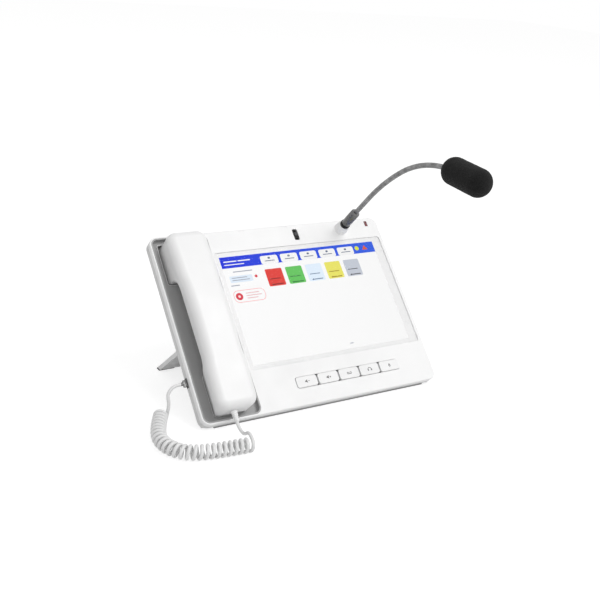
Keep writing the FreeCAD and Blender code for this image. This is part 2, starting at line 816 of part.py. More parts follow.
def fillet_points(points, radii):
    """Closed wire through points in order, each corner an arc of its own radius, or sharp for 0."""
    count = len(points)
    cuts = []
    for number in range(count):
        corner = points[number]
        if radii[number] == 0:
            cuts.append((corner, corner, corner))
            continue
        before = (points[number - 1] - corner).normalize()
        after = (points[(number + 1) % count] - corner).normalize()
        half = before.getAngle(after) / 2
        reach = radii[number] / math.tan(half)
        centre = corner + (before + after).normalize() * (radii[number] / math.sin(half))
        middle = centre + (corner - centre).normalize() * radii[number]
        cuts.append((corner + before * reach, middle, corner + after * reach))
    edges = []
    for number in range(count):
        first, middle, last = cuts[number]
        if radii[number] > 0:
            edges.append(Part.Arc(first, middle, last).toShape())
        edges.append(Part.LineSegment(last, cuts[(number + 1) % count][0]).toShape())
    return Part.Wire(edges)


def handset_body(inset):
    """Handset outline from the side crossed with its outline from above, both drawn in by inset."""
    v0, v1 = handset_start + inset, handset_end - inset
    low, under = cup_bottom + inset, grip_underside + inset
    mouth, ear = handset_start + mouth_cup_length, handset_end - ear_cup_length
    mouth_side, ear_side = mouth - inset, ear + inset
    corners = [
        (v0, cup_end_level, cup_end_round),
        (v0 + cup_end_slope, low, 0),
        (mouth_side, low, 0),
        (mouth_side + cup_inner_slope, under, arch_radius),
        (ear_side - cup_inner_slope, under, arch_radius),
        (ear_side, low, 0),
        (v1 - cup_end_slope, low, 0),
        (v1, cup_end_level, cup_end_round),
        (v1, cup_top - inset, 0),
        (handset_middle, grip_top - inset, grip_back_round),
        (v0, cup_top - inset, 0),
    ]
    points = [Vector(-panel_width, v, w) for v, w, radius in corners]
    radii = [radius and max(radius - inset, least_corner) for v, w, radius in corners]
    side = Part.Face(fillet_points(points, radii)).extrude(Vector(2 * panel_width, 0, 0))
    cup, grip = cup_width / 2 - inset, grip_width / 2 - inset
    half_plan = [
        (cup, v0, mouth_corner),
        (cup, mouth + cup_inner_slope, waist_round),
        (grip, mouth + waist_length, waist_round),
        (grip, ear - waist_length, waist_round),
        (cup, ear - cup_inner_slope, waist_round),
        (cup, v1, ear_corner),
    ]
    plan = half_plan + [(-x, v, radius) for x, v, radius in reversed(half_plan)]
    points = [Vector(handset_x + x, v, -2 * well_depth) for x, v, radius in plan]
    radii = [max(radius - inset, least_corner) for x, v, radius in plan]
    above = Part.Face(fillet_points(points, radii)).extrude(Vector(0, 0, 3 * grip_top))
    return side.common(above).cut(taper_wedges(cup)).Solids[0]


def taper_wedges(half):
    """Wedges that narrow the mouthpiece cup from half its width at the grip's underside downward."""
    drop = 2 * (grip_underside - cup_bottom)
    wedges = []
    for side in (-1, 1):
        corners = [(half, 0), (half - mouth_taper * drop, drop), (cup_width, drop), (cup_width, 0)]
        corners.append(corners[0])
        points = [Vector(handset_x + side * x, 0, grip_underside - depth) for x, depth in corners]
        wedges.append(Part.Face(Part.makePolygon(points)).extrude(Vector(0, handset_middle, 0)))
    return group(wedges)


def softened(body):
    """Round the edges round the cups and round the top."""
    for radius, choose in ((cup_foot_round, lambda box: box.ZMax < cup_bottom + seat_gap),
                           (handset_round, lambda box: box.ZMin > shell_split)):
        edges = [edge for edge in body.Edges if choose(edge.BoundBox)]
        chosen = []
        for edge in edges:
            faces = body.ancestorsOfType(edge, Part.Face)
            if len(faces) == 2:
                middle = edge.valueAt((edge.FirstParameter + edge.LastParameter) / 2)
                normals = [face.normalAt(*face.Surface.parameter(middle)) for face in faces]
                if abs(normals[0].dot(normals[1])) < smooth_edge_limit:
                    chosen.append(edge)
        body = body.makeFillet(radius, chosen)
    return body


def make_handset():
    """Two shells with the grilles, capsules, weight and screws between them."""
    body, hollow = softened(handset_body(0)), handset_body(handset_wall)
    low = block(-panel_width, 0, -corner_radius, panel_height, cup_bottom - 1, shell_split)
    lower = body.common(low).cut(hollow.common(low))
    upper = body.cut(low).cut(hollow.cut(low))
    for name, middle, grille_radius, receiver_radius in cups:
        lower = lower.cut(post(handset_x, middle, cup_bottom, cup_bottom + handset_wall,
                               grille_radius + fit_gap))
    screw_reach = weight_length / 2 + weight_screw_gap
    screw_spots = [handset_middle - screw_reach, handset_middle + screw_reach]
    for v in screw_spots:
        lower = lower.fuse(post(handset_x, v, grip_underside + handset_wall / 2, shell_split, post_radius))
        upper = upper.fuse(post(handset_x, v, shell_split, cup_top + handset_wall, post_radius))
    screws = []
    for v in screw_spots:
        head = grip_underside + handset_wall / 2
        lower = lower.cut(post(handset_x, v, grip_underside - 1, head + small_screw_head_height,
                               small_screw_head + screw_clearance))
        lower = lower.cut(post(handset_x, v, grip_underside, shell_split,
                               small_screw_radius + screw_clearance))
        upper = upper.cut(post(handset_x, v, shell_split,
                               head + small_screw_head_height + small_screw_length, small_screw_radius))
        screws.append(screw(handset_x, v, head, 1, small_screw_radius, small_screw_head,
                            small_screw_head_height, small_screw_length))
    weight_base = grip_underside + handset_wall
    weight = plate(handset_x - weight_width / 2, handset_x + weight_width / 2,
                   handset_middle - weight_length / 2, handset_middle + weight_length / 2,
                   weight_base, weight_base + weight_thickness, weight_corner)
    return lower, upper, weight, group(screws)


def make_grille(v, radius):
    """Pierced disc in the bottom of a cup."""
    disc = post(handset_x, v, cup_bottom, cup_bottom + grille_thickness, radius)
    holes = [(0.0, 0.0)]
    for ring in range(1, grille_rings + 1):
        reach = ring * grille_ring_pitch
        for number in range(6 * ring):
            angle = math.radians(60.0 / ring * number)
            holes.append((reach * math.cos(angle), reach * math.sin(angle)))
    cutters = [post(handset_x + dx, v + dv, cup_bottom - 1, cup_bottom + grille_thickness + 1,
                    grille_hole_radius)
               for dx, dv in holes]
    return disc.cut(group(cutters))


def make_capsule(v, radius):
    base = cup_bottom + grille_thickness
    rim = post(handset_x, v, base, base + capsule_rim, radius)
    magnet = post(handset_x, v, base + capsule_rim, base + receiver_depth, capsule_magnet_radius)
    return rim.fuse(magnet)


def make_hook_switch():
    """Switch body on the deck's floor and the plunger that the earpiece end holds down."""
    top = plunger_top + plunger_seat_gap
    bottom = top - plunger_length
    plunger = post(plunger_x, plunger_height, bottom, top, plunger_radius)
    flange_top = -well_depth - cradle_floor_wall - seat_gap - plunger_travel
    plunger = plunger.fuse(post(plunger_x, plunger_height, flange_top - plunger_flange, flange_top,
                                plunger_flange_radius))
    base_top = bottom - seat_gap + hook_bore_depth
    base = block(plunger_x - hook_switch_length / 2, plunger_x + hook_switch_length / 2,
                 plunger_height - hook_switch_width / 2, plunger_height + hook_switch_width / 2,
                 deck_inside, base_top)
    base = base.cut(post(plunger_x, plunger_height, bottom - seat_gap, base_top, plunger_radius + fit_gap))
    return plunger.removeSplitter(), base


def tube_path(points, label):
    """Straight runs joined by tangent arcs, the largest that the runs beside each turn allow."""
    vectors = [Vector(*point) for point in points]
    edges = []
    start = vectors[0]
    radii = []
    for number in range(1, len(vectors) - 1):
        corner = vectors[number]
        before = (vectors[number - 1] - corner)
        after = (vectors[number + 1] - corner)
        shorter = min(before.Length, after.Length)
        half_turn = (math.pi - before.getAngle(after)) / 2
        reach = bend_share * shorter
        radius = reach / math.tan(half_turn)
        before.normalize()
        after.normalize()
        inward = (before + after).normalize()
        centre = corner + inward * (radius / math.cos(half_turn))
        first, last = corner + before * reach, corner + after * reach
        edges.append(Part.LineSegment(start, first).toShape())
        edges.append(Part.Arc(first, centre - inward * radius, last).toShape())
        start = last
        radii.append(radius)
    edges.append(Part.LineSegment(start, vectors[-1]).toShape())
    wire = Part.Wire(edges)
    runs = [(b - a).Length for a, b in zip(vectors, vectors[1:])]
    print(label, "runs", [round(run, 1) for run in runs], "radii", [round(radius, 1) for radius in radii])
    return wire


def tube(points, label):
    wire = tube_path(points, label)
    start = Vector(*points[0])
    direction = (Vector(*points[1]) - start).normalize()
    circle = Part.Wire(Part.makeCircle(wire_diameter / 2, start, direction))
    solid = wire.makePipeShell([circle], True, False)
    expected = math.pi * wire_diameter ** 2 / 4 * wire.Length
    print(label, "length", round(wire.Length, 1), "volume over section times length",
          round(solid.Volume / expected, 4))
    return solid


# The coil lies on the table. Its axis runs straight between arcs in plan.
coil_radius = (coil_outer_diameter - wire_diameter) / 2
coil_level = coil_outer_diameter / 2 + coil_rest_gap


def coil_axis():
    """Plan of the coil's axis as pieces of (length, start point, heading, curvature)."""
    points = [Vector(left + x, y, coil_level) for x, y in coil_route]
    pieces = []
    start = points[0]
    for number in range(1, len(points) - 1):
        corner = points[number]
        before = points[number - 1] - corner
        after = points[number + 1] - corner
        half_turn = (math.pi - before.getAngle(after)) / 2
        reach = bend_share * min(before.Length, after.Length)
        radius = reach / math.tan(half_turn)
        heading = math.atan2(-before.y, -before.x)
        side = -1 if before.cross(after).z > 0 else 1
        first = corner + before.normalize() * reach
        pieces.append(((first - start).Length, start, heading, 0.0))
        pieces.append((2 * half_turn * radius, first, heading, side / radius))
        start = corner + after.normalize() * reach
    last = points[-1] - start
    pieces.append((last.Length, start, math.atan2(last.y, last.x), 0.0))
    return pieces


def axis_at(pieces, distance):
    """Point and heading at a distance along the coil's axis."""
    for length, start, heading, curvature in pieces:
        if distance <= length:
            break
        distance -= length
    else:
        distance += length
    if curvature == 0.0:
        return start + Vector(math.cos(heading), math.sin(heading), 0) * distance, heading
    end = heading + curvature * distance
    across = Vector(math.sin(end) - math.sin(heading), math.cos(heading) - math.cos(end), 0)
    return start + across * (1 / curvature), end


def biarc(p0, t0, p1, t1):
    """Two arcs from p0 to p1 with the tangents t0 and t1."""
    chord = p1 - p0
    both = t0 + t1
    slack = 2 * (1 - t0.dot(t1))
    reach = (-chord.dot(both) + math.sqrt(chord.dot(both) ** 2 + slack * chord.dot(chord))) / slack
    joint = (p0 + p1 + (t0 - t1) * reach) * 0.5
    return [half_arc(p0, t0, joint), half_arc(p1, t1 * -1, joint, True)]


def half_arc(point, tangent, joint, backward=False):
    chord = joint - point
    angle = tangent.getAngle(chord)
    towards = (tangent + chord * (1 / chord.Length)).normalize()
    middle = point + towards * (chord.Length / 2 / math.cos(angle / 2))
    ends = (joint, middle, point) if backward else (point, middle, joint)
    return Part.Arc(*ends).toShape()


def coil_samples(per_turn):
    """Points and tangents on the helix. It starts at the top and ends on its right side."""
    pieces = coil_axis()
    total = sum(length for length, start, heading, curvature in pieces)
    turns = coil_curls + coil_end_turn
    count = int(round(turns * per_turn))
    samples = []
    for number in range(count + 1):
        points = []
        for nudge in (-1e-4, 0.0, 1e-4):
            share = number / count + nudge
            point, heading = axis_at(pieces, min(max(share, 0.0), 1.0) * total)
            inside = min(max(share, 0.0), 1.0)
            point = point + Vector(math.cos(heading), math.sin(heading), 0) * ((share - inside) * total)
            angle = 2 * math.pi * turns * share
            left_side = Vector(-math.sin(heading), math.cos(heading), 0)
            outward = Vector(0, 0, 1) * math.cos(angle) + left_side * math.sin(angle)
            points.append(point + outward * coil_radius)
        samples.append((points[1], (points[2] - points[0]).normalize()))
    return samples


def make_coil():
    """Curly cord as one unbroken tube with a straight end each way."""
    samples = coil_samples(coil_arcs_per_turn)
    first, heading_in = samples[0]
    last, heading_out = samples[-1]
    start = first - heading_in * wire_diameter
    end = last + heading_out * wire_diameter
    edges = [Part.LineSegment(start, first).toShape()]
    for (p0, t0), (p1, t1) in zip(samples, samples[1:]):
        edges.extend(biarc(p0, t0, p1, t1))
    edges.append(Part.LineSegment(last, end).toShape())
    wire = Part.Wire(edges)
    circle = Part.Wire(Part.makeCircle(wire_diameter / 2, start, heading_in))
    solid = wire.makePipeShell([circle], True, False)
    fine = [point for point, tangent in coil_samples(24)]
    turn = 16
    least = min(a.distanceToPoint(b) for number, a in enumerate(fine)
                for b in fine[number + turn:number + 60])
    print("curly cord length", round(wire.Length, 1), "least gap to itself", round(least - wire_diameter, 2),
          "volume over section times length",
          round(solid.Volume / (math.pi * wire_diameter ** 2 / 4 * wire.Length), 4))
    return solid, start, heading_in, end, heading_out


def make_cord(boot_end):
    """Coil, the lead to the handset and the lead to the socket in the case."""
    coil, coil_start, heading_in, coil_end, heading_out = make_coil()
    beside_case = Vector(left, 0, 0)
    leaving = boot_end + (place_point(0, -1, 0) - place_point(0, 0, 0)) * handset_lead_first_run
    route = [beside_case + Vector(*point) for point in handset_lead_points]
    before_coil = coil_start - heading_in * handset_lead_last_run
    handset_lead = tube([boot_end, leaving] + route + [before_coil, coil_start], "handset lead")
    leaving = base_plug_end - Vector(base_lead_first_run, 0, 0)
    route = [beside_case + Vector(*point) for point in base_lead_points]
    after_coil = coil_end + heading_out * base_lead_last_run
    base_lead = tube([base_plug_end, leaving] + route + [after_coil, coil_end], "base lead")
    return coil, handset_lead, base_lead


def make_boot():
    """Strain relief on the mouthpiece end of the handset."""
    start = Vector(handset_x + boot_offset, handset_start, boot_height)
    boot = Part.makeCone(boot_radius, boot_tip_radius, boot_length, start, Vector(0, -1, 0))
    return boot, place_point(start.x, handset_start - boot_length, boot_height)


jack_middle_level = -jack_level - jack_thickness / 2
base_plug_end = place_point(left - base_plug_out - base_boot_length, jack_height, jack_middle_level)


def make_jack():
    """Modular socket and the plug in it."""
    jack = block(left, left + jack_length, jack_height - jack_width / 2, jack_height + jack_width / 2,
                 -jack_level - jack_thickness, -jack_level)
    low, high = jack_middle_level - jack_cavity_height / 2, jack_middle_level + jack_cavity_height / 2
    v0, v1 = jack_height - jack_cavity_width / 2, jack_height + jack_cavity_width / 2
    jack = jack.cut(block(left, left + jack_cavity_depth, v0, v1, low, high))
    inset = fit_gap
    plug = block(left - base_plug_out, left + jack_cavity_depth, v0 + inset, v1 - inset,
                 low + inset, high - inset)
    boot = Part.makeCylinder(base_boot_radius, base_boot_length,
                             Vector(left - base_plug_out - base_boot_length, jack_height, jack_middle_level),
                             Vector(1, 0, 0))
    return jack, plug.fuse(boot)


def make_board():
    board = block(board_x0, board_x1, board_v0, board_v1, board_under, board_top)
    screws = []
    for x, v in board_posts:
        board = board.cut(post(x, v, board_under, board_top, small_screw_radius + screw_clearance))
        screws.append(screw(x, v, board_top + small_screw_head_height, -1, small_screw_radius,
                            small_screw_head, small_screw_head_height, small_screw_length))
    key_board_top = key_board_thickness - key_board_level
    for x in key_post_x:
        screws.append(screw(x, key_post_v, key_board_top + small_screw_head_height, -1, small_screw_radius,
                            small_screw_head, small_screw_head_height, small_screw_length))
    length, width, height = shield_size
    x, v = board_x0 + shield_inset[0], board_v0 + shield_inset[1]
    shield = block(x, x + length, v, v + width, board_top, board_top + height)
    return board, shield, group(screws)


def make_connectors():
    """Two network sockets and the power inlet along the deck's right side."""
    width, height, depth = network_cavity
    inner = socket_mouth - socket_depth
    sockets = []
    for v in network_heights:
        body = block(inner, socket_mouth, v - network_socket_width / 2, v + network_socket_width / 2,
                     deck_inside + fit_gap, board_under)
        middle = (deck_inside + board_under) / 2
        body = body.cut(block(socket_mouth - depth, socket_mouth, v - width / 2, v + width / 2,
                              middle - height / 2, middle + height / 2))
        sockets.append(body)
    level = board_under - power_inlet_height / 2
    inlet = block(inner, socket_mouth, power_height - power_inlet_width / 2,
                  power_height + power_inlet_width / 2, board_under - power_inlet_height, board_under)
    bore = Part.makeCylinder(power_bore_radius, power_bore_depth,
                             Vector(socket_mouth - power_bore_depth, power_height, level), Vector(1, 0, 0))
    pin = Part.makeCylinder(power_pin_radius, power_pin_length,
                            Vector(socket_mouth - power_bore_depth, power_height, level), Vector(1, 0, 0))
    return group(sockets), inlet.cut(bore), pin


def make_speaker():
    """Round loudspeaker that faces the slots in the back of the deck."""
    flange = post(speaker_middle, speaker_height, deck_inside, deck_inside + speaker_flange, speaker_radius)
    cone_depth = speaker_depth - magnet_depth
    cone = Part.makeCone(speaker_radius - speaker_flange_width, magnet_radius, cone_depth - speaker_flange,
                         Vector(speaker_middle, speaker_height, deck_inside + speaker_flange))
    magnet = post(speaker_middle, speaker_height, deck_inside + cone_depth, deck_inside + speaker_depth,
                  magnet_radius)
    dish = Part.makeCone(speaker_radius - surround_width, dish_floor_radius, dish_depth,
                         Vector(speaker_middle, speaker_height, deck_inside))
    return flange.fuse(cone).fuse(magnet).cut(dish)


def make_case_screws():
    head = back + wall / 2 - case_screw_head_height
    return group([screw(x, v, head, 1, case_screw_radius, case_screw_head, case_screw_head_height,
                        case_screw_length) for x, v in case_screw_points])


def make_front_foot():
    """Rubber strip under the flat that the case stands on."""
    half = foot_chamfer * (cos_tilt / sin_tilt + sin_tilt / cos_tilt) / 2 - foot_edge
    length = panel_width - 2 * front_foot_inset
    return Part.makeBox(length, 2 * half, foot_thickness, Vector(-length / 2, -half, 0))


# The kickstand is drawn folded against the back and then turned out to its stop.
stand_turn = 180.0 - tilt - stand_angle
hinge_z = place_point(0, hinge_height, hinge_level).z


def opened(shape):
    turned = shape.copy()
    turned.rotate(Vector(0, hinge_height, hinge_level), Vector(1, 0, 0), stand_turn)
    return place(turned)


def layer(z0, z1):
    return Part.makeBox(2 * panel_width, 2 * panel_width, z1 - z0, Vector(-panel_width, 0, z0))


def make_kickstand():
    """Plate with its hinge barrel, two rubber feet, two pins and two brackets with their screws."""
    half = stand_width / 2
    reach = hinge_z / math.sin(math.radians(stand_angle)) + stand_thickness
    leaf = block(-half, half, hinge_height - reach, hinge_height, hinge_level - stand_thickness / 2,
                 hinge_level + stand_thickness / 2)
    barrel = Part.makeCylinder(barrel_radius, stand_width, Vector(-half, hinge_height, hinge_level),
                               Vector(1, 0, 0))
    body = leaf.fuse(barrel)
    pins = []
    for middle in bracket_centres:
        gap = bracket_width / 2 + bracket_side_gap
        body = body.cut(block(middle - gap, middle + gap, hinge_height - stand_notch_reach,
                              hinge_height + 2 * barrel_radius, hinge_level - 2 * barrel_radius,
                              hinge_level + 2 * barrel_radius))
        pin = Part.makeCylinder(pin_radius, pin_length,
                                Vector(middle - pin_length / 2, hinge_height, hinge_level), Vector(1, 0, 0))
        pins.append(pin)
    body = body.cut(group(pins)).removeSplitter()
    body = opened(body)
    stand = body.common(layer(foot_thickness, 2 * hinge_z))
    feet = []
    for x in (-half, half - stand_foot_length):
        strip = Part.makeBox(stand_foot_length, panel_width, foot_thickness, Vector(x, 0, 0))
        feet.append(opened(leaf).common(strip))
    brackets = []
    screws = []
    for middle in bracket_centres:
        bracket = block(middle - bracket_width / 2, middle + bracket_width / 2,
                        hinge_height - bracket_half_height, hinge_height + bracket_half_height,
                        hinge_level - barrel_radius, back)
        bracket = bracket.cut(Part.makeCylinder(pin_radius + running_gap, 2 * bracket_width,
                                                Vector(middle - bracket_width, hinge_height, hinge_level),
                                                Vector(1, 0, 0)))
        for side in (-1, 1):
            x = middle + side * bracket_width / 4
            fastener = screw(x, hinge_height, back_inside + small_screw_head_height, -1, small_screw_radius,
                             small_screw_head, small_screw_head_height, bracket_screw_length)
            bracket = bracket.cut(post(x, hinge_height, back_inside - bracket_screw_length, back,
                                       small_screw_radius))
            screws.append(place(fastener))
        brackets.append(place(bracket))
    return stand, group(feet), opened(group(pins)), group(brackets), group(screws)


def make_display():
    """Cover glass and the display module behind it."""
    glass = plate(glass_x0, glass_x1, glass_v0, glass_v1, -glass_thickness, 0, glass_corner)
    module = block(module_x0, module_x1, module_v0, module_v1, -face_wall - module_depth, -face_wall)
    raised = block(screen_x0, screen_x1, screen_v0, screen_v1, -face_wall, -glass_thickness)
    return glass, module.fuse(raised)


save("front_shell", place(make_front_shell()))
save("rear_cover", make_rear_cover())
save("cradle", place(make_cradle()))
glass, module = make_display()
save("cover_glass", place(glass))
save("display_module", place(module))
for number, x in enumerate(key_centres):
    save("key_" + str(number + 1), place(make_key(x)))
save("key_mat", place(make_key_mat()))
save("key_board", place(make_key_board()))
drum, lens, bracket = make_camera()
save("camera_drum", place(drum))
save("camera_lens", place(lens))
save("camera_bracket", place(bracket))
save("indicator_light", place(make_indicator()))
boss, nut, collar, sleeve = make_socket()
save("neck_socket", place(boss))
save("neck_nut", place(nut))
save("neck_collar", place(collar))
save("neck_sleeve", place(sleeve))
for number, length in enumerate(make_neck()):
    save("neck_" + str(number + 1), place(length))
housing, microphone, foam = make_microphone()
save("microphone_housing", place(housing))
save("microphone_capsule", place(microphone))
save("windscreen", place(foam))
lower_shell, upper_shell, weight, shell_screws = make_handset()
save("handset_lower_shell", place(lower_shell))
save("handset_upper_shell", place(upper_shell))
save("handset_weight", place(weight))
save("handset_screws", place(shell_screws))
for name, middle, grille_radius, receiver_radius in cups:
    save(name + "_grille", place(make_grille(middle, grille_radius)))
    save(name + "_capsule", place(make_capsule(middle, receiver_radius)))
plunger, hook_base = make_hook_switch()
save("hook_plunger", place(plunger))
save("hook_switch", place(hook_base))
jack, plug = make_jack()
save("cord_socket", place(jack))
save("base_plug", place(plug))
strain_relief, lead_start = make_boot()
save("handset_strain_relief", place(strain_relief))
coil, handset_lead, base_lead = make_cord(lead_start)
save("curly_cord", coil)
save("handset_lead", handset_lead)
save("base_lead", base_lead)
board, shield, small_screws = make_board()
save("main_board", place(board))
save("board_shield", place(shield))
save("board_screws", place(small_screws))
network, inlet, inlet_pin = make_connectors()
save("network_sockets", place(network))
save("power_inlet", place(inlet))
save("power_pin", place(inlet_pin))
save("loudspeaker", place(make_speaker()))
save("case_screws", place(make_case_screws()))
save("front_foot", make_front_foot())
stand, stand_feet, pins, brackets, bracket_screws = make_kickstand()
save("kickstand", stand)
save("kickstand_feet", stand_feet)
save("hinge_pins", pins)
save("hinge_brackets", brackets)
save("hinge_screws", bracket_screws)
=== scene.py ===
"""Looks of the desk paging console on its CAD frame: materials, picture, gooseneck, windscreen and cords."""
import math

import bpy
from mathutils import Matrix, Vector, noise


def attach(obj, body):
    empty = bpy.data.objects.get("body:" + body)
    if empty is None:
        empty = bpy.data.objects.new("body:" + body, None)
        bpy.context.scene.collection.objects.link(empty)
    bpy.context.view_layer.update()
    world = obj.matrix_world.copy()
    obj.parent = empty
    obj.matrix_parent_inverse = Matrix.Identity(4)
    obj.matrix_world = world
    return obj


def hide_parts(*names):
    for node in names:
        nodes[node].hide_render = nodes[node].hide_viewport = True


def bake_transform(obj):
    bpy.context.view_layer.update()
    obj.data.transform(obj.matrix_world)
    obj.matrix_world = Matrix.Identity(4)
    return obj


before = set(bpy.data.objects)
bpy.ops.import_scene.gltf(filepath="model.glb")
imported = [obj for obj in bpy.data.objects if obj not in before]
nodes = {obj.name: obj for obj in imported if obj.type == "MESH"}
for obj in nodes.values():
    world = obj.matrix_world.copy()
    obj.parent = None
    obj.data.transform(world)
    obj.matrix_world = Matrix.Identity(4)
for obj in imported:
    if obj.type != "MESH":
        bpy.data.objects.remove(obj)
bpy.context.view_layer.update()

# ---------------------------------------------------------------- places
MM = 0.001
TILT = math.radians(44.0)
CASE_DEPTH = 15.0
FOOT_CHAMFER = 3.5
FOOT_THICKNESS = 2.0
PANEL_Y = -CASE_DEPTH * math.sin(TILT) - FOOT_CHAMFER * (1 / math.tan(TILT) - math.tan(TILT)) / 2
PANEL_Z = FOOT_THICKNESS - FOOT_CHAMFER + CASE_DEPTH * math.cos(TILT)
ACROSS = Vector((1.0, 0.0, 0.0))
UP_FACE = Vector((0.0, math.cos(TILT), math.sin(TILT)))
OUT = Vector((0.0, -math.sin(TILT), math.cos(TILT)))


def at(x, v, w):
    """Panel millimetres (across, up the face, out of the face) to the frame in metres."""
    return Vector((x, PANEL_Y + v * UP_FACE.y + w * OUT.y, PANEL_Z + v * UP_FACE.z + w * OUT.z)) * MM


# ---------------------------------------------------------------- materials
def linear(colour):
    """Colour as seen, 0 to 1, to the shader's linear values."""
    return [c / 12.92 if c <= 0.04045 else ((c + 0.055) / 1.055) ** 2.4 for c in colour]


def grey(level):
    return (level, level, level)


class Shader:
    """Principled material whose colour, gloss and bump come from noise in object space."""

    def __init__(self, name):
        self.material = bpy.data.materials.new(name)
        self.material.use_nodes = True
        self.tree = self.material.node_tree
        self.shader = self.tree.nodes["Principled BSDF"]
        self.place = self.tree.nodes.new("ShaderNodeTexCoord").outputs["Object"]

    def node(self, kind, **inputs):
        made = self.tree.nodes.new(kind)
        for key, value in inputs.items():
            made.inputs[key.replace("_", " ")].default_value = value
        return made

    def link(self, a, b):
        self.tree.links.new(a, b)

    def noise(self, scale, detail=3.0, stretch=None):
        made = self.node("ShaderNodeTexNoise", Scale=scale, Detail=detail, Roughness=0.5)
        source = self.place
        if stretch:
            mapping = self.node("ShaderNodeMapping")
            mapping.inputs["Scale"].default_value = stretch
            self.link(source, mapping.inputs["Vector"])
            source = mapping.outputs["Vector"]
        self.link(source, made.inputs["Vector"])
        return made.outputs["Fac"]

    def ramp(self, value, stops):
        made = self.tree.nodes.new("ShaderNodeValToRGB")
        ramp = made.color_ramp
        while len(ramp.elements) < len(stops):
            ramp.elements.new(0.5)
        for element, (position, colour) in zip(ramp.elements, stops):
            element.position = position
            element.color = (*linear(colour), 1.0)
        self.link(value, made.inputs["Fac"])
        return made.outputs["Color"]

    def colour(self, value, stops):
        """Base colour from a value, by stops of (position, colour)."""
        self.link(self.ramp(value, stops), self.shader.inputs["Base Color"])

    def gloss(self, value, low, high):
        """Roughness from low to high over the middle of a noise's range."""
        made = self.node("ShaderNodeMapRange")
        for key, number in (("From Min", 0.3), ("From Max", 0.7), ("To Min", low), ("To Max", high)):
            made.inputs[key].default_value = number
        self.link(value, made.inputs["Value"])
        self.link(made.outputs["Result"], self.shader.inputs["Roughness"])

    def bumps(self, *layers):
        """Layers of (height, distance in metres, strength), the finest last."""
        normal = None
        for height, distance, strength in layers:
            made = self.node("ShaderNodeBump", Strength=strength, Distance=distance)
            self.link(height, made.inputs["Height"])
            if normal:
                self.link(normal, made.inputs["Normal"])
            normal = made.outputs["Normal"]
        self.link(normal, self.shader.inputs["Normal"])


def moulded(name, colour, rough, shade=0.03, grain=1400.0, depth=0.00004, metallic=0.0, coat=0.0,
            specular=0.5):
    """Injection-moulded plastic, rubber or metal: fine grain, uneven gloss, a little soiling."""
    made = Shader(name)
    low = tuple(max(c - shade, 0.0) for c in colour)
    high = tuple(min(c + shade / 3, 1.0) for c in colour)
    made.colour(made.noise(24.0, 5.0), [(0.3, low), (0.5, colour), (0.75, high)])
    made.gloss(made.noise(75.0, 4.0), rough * 0.85, min(rough * 1.2, 1.0))
    made.bumps((made.noise(60.0, 2.0), depth * 3, 0.08), (made.noise(grain, 2.0), depth, 0.35))
    made.shader.inputs["Metallic"].default_value = metallic
    made.shader.inputs["Coat Weight"].default_value = coat
    made.shader.inputs["Coat Roughness"].default_value = 0.12
    made.shader.inputs["Specular IOR Level"].default_value = specular
    return made.material


def brushed(name, colour, rough, stretch, shade=0.08):
    """Turned or brushed metal, its fine lines drawn out by the stretch of the noise."""
    made = Shader(name)
    lines = made.noise(900.0, 3.0, stretch)
    made.colour(made.noise(30.0, 3.0), [(0.3, tuple(c - shade for c in colour)), (0.7, colour)])
    made.gloss(lines, rough * 0.8, rough * 1.3)
    made.bumps((lines, 0.00002, 0.25))
    made.shader.inputs["Metallic"].default_value = 1.0
    return made.material


def lit(name, colour, second=None):
    """Part of the picture on the panel, evenly lit with a slow drift between two colours."""
    made = Shader(name)
    second = second or tuple(c * 0.97 for c in colour)
    mapping = made.node("ShaderNodeMapping")
    mapping.inputs["Scale"].default_value = (2.0, 0.0, 0.0)
    mapping.inputs["Location"].default_value = (0.4, 0.0, 0.0)
    made.link(made.place, mapping.inputs["Vector"])
    drift = made.tree.nodes.new("ShaderNodeTexGradient")
    made.link(mapping.outputs["Vector"], drift.inputs["Vector"])
    shown = made.ramp(drift.outputs["Fac"], [(0.25, colour), (0.75, second)])
    made.link(shown, made.shader.inputs["Emission Color"])
    made.shader.inputs["Emission Strength"].default_value = 1.0
    made.shader.inputs["Base Color"].default_value = (0.0, 0.0, 0.0, 1.0)
    made.gloss(made.noise(400.0), 0.35, 0.45)
    made.shader.inputs["Specular IOR Level"].default_value = 0.0
    return made.material


white_shell = moulded("white_shell", grey(0.945), rough=0.42, shade=0.008, grain=1500.0, depth=0.00003)
cover_grey = moulded("cover_grey", grey(0.86), rough=0.5, shade=0.015, grain=1300.0, depth=0.00005)
cradle_grey = moulded("cradle_grey", grey(0.635), rough=0.5, shade=0.02, grain=1300.0, depth=0.00005)
handset_white = moulded("handset_white", grey(0.935), rough=0.34, shade=0.006, grain=900.0, depth=0.00002)
key_white = moulded("key_white", grey(0.93), rough=0.38, shade=0.006, grain=1500.0, depth=0.00002)
# Paler than the cradle's grey: a painted highlight for the top edges of the wells' rims.
rim_highlight_grey = moulded("rim_highlight_grey", grey(0.86), rough=0.4, shade=0.015)
print_grey = moulded("print_grey", grey(0.30), rough=0.5, shade=0.04)
border_white = moulded("border_white", grey(0.90), rough=0.3, shade=0.006)
black_plastic = moulded("black_plastic", grey(0.11), rough=0.5, shade=0.02, grain=1200.0, depth=0.00005)
black_gloss = moulded("black_gloss", grey(0.06), rough=0.22, shade=0.01, coat=0.15, specular=0.3)
stand_grey = moulded("stand_grey", grey(0.93), rough=0.55, shade=0.025, grain=1000.0, depth=0.00006)
rubber = moulded("rubber", grey(0.16), rough=0.85, grain=700.0, depth=0.00012, specular=0.25)
# The front foot's pale grey is painted light: it lightens the shade under the case's front edge.
foot_rubber = moulded("foot_rubber", grey(0.60), rough=0.8, grain=700.0, depth=0.0001, specular=0.3)
silicone = moulded("silicone", grey(0.72), rough=0.6, grain=900.0)
cord_white = moulded("cord_white", grey(0.90), rough=0.38, shade=0.012, grain=1100.0, depth=0.00002)
steel = brushed("steel", grey(0.70), rough=0.3, stretch=(1.0, 1.0, 0.04))
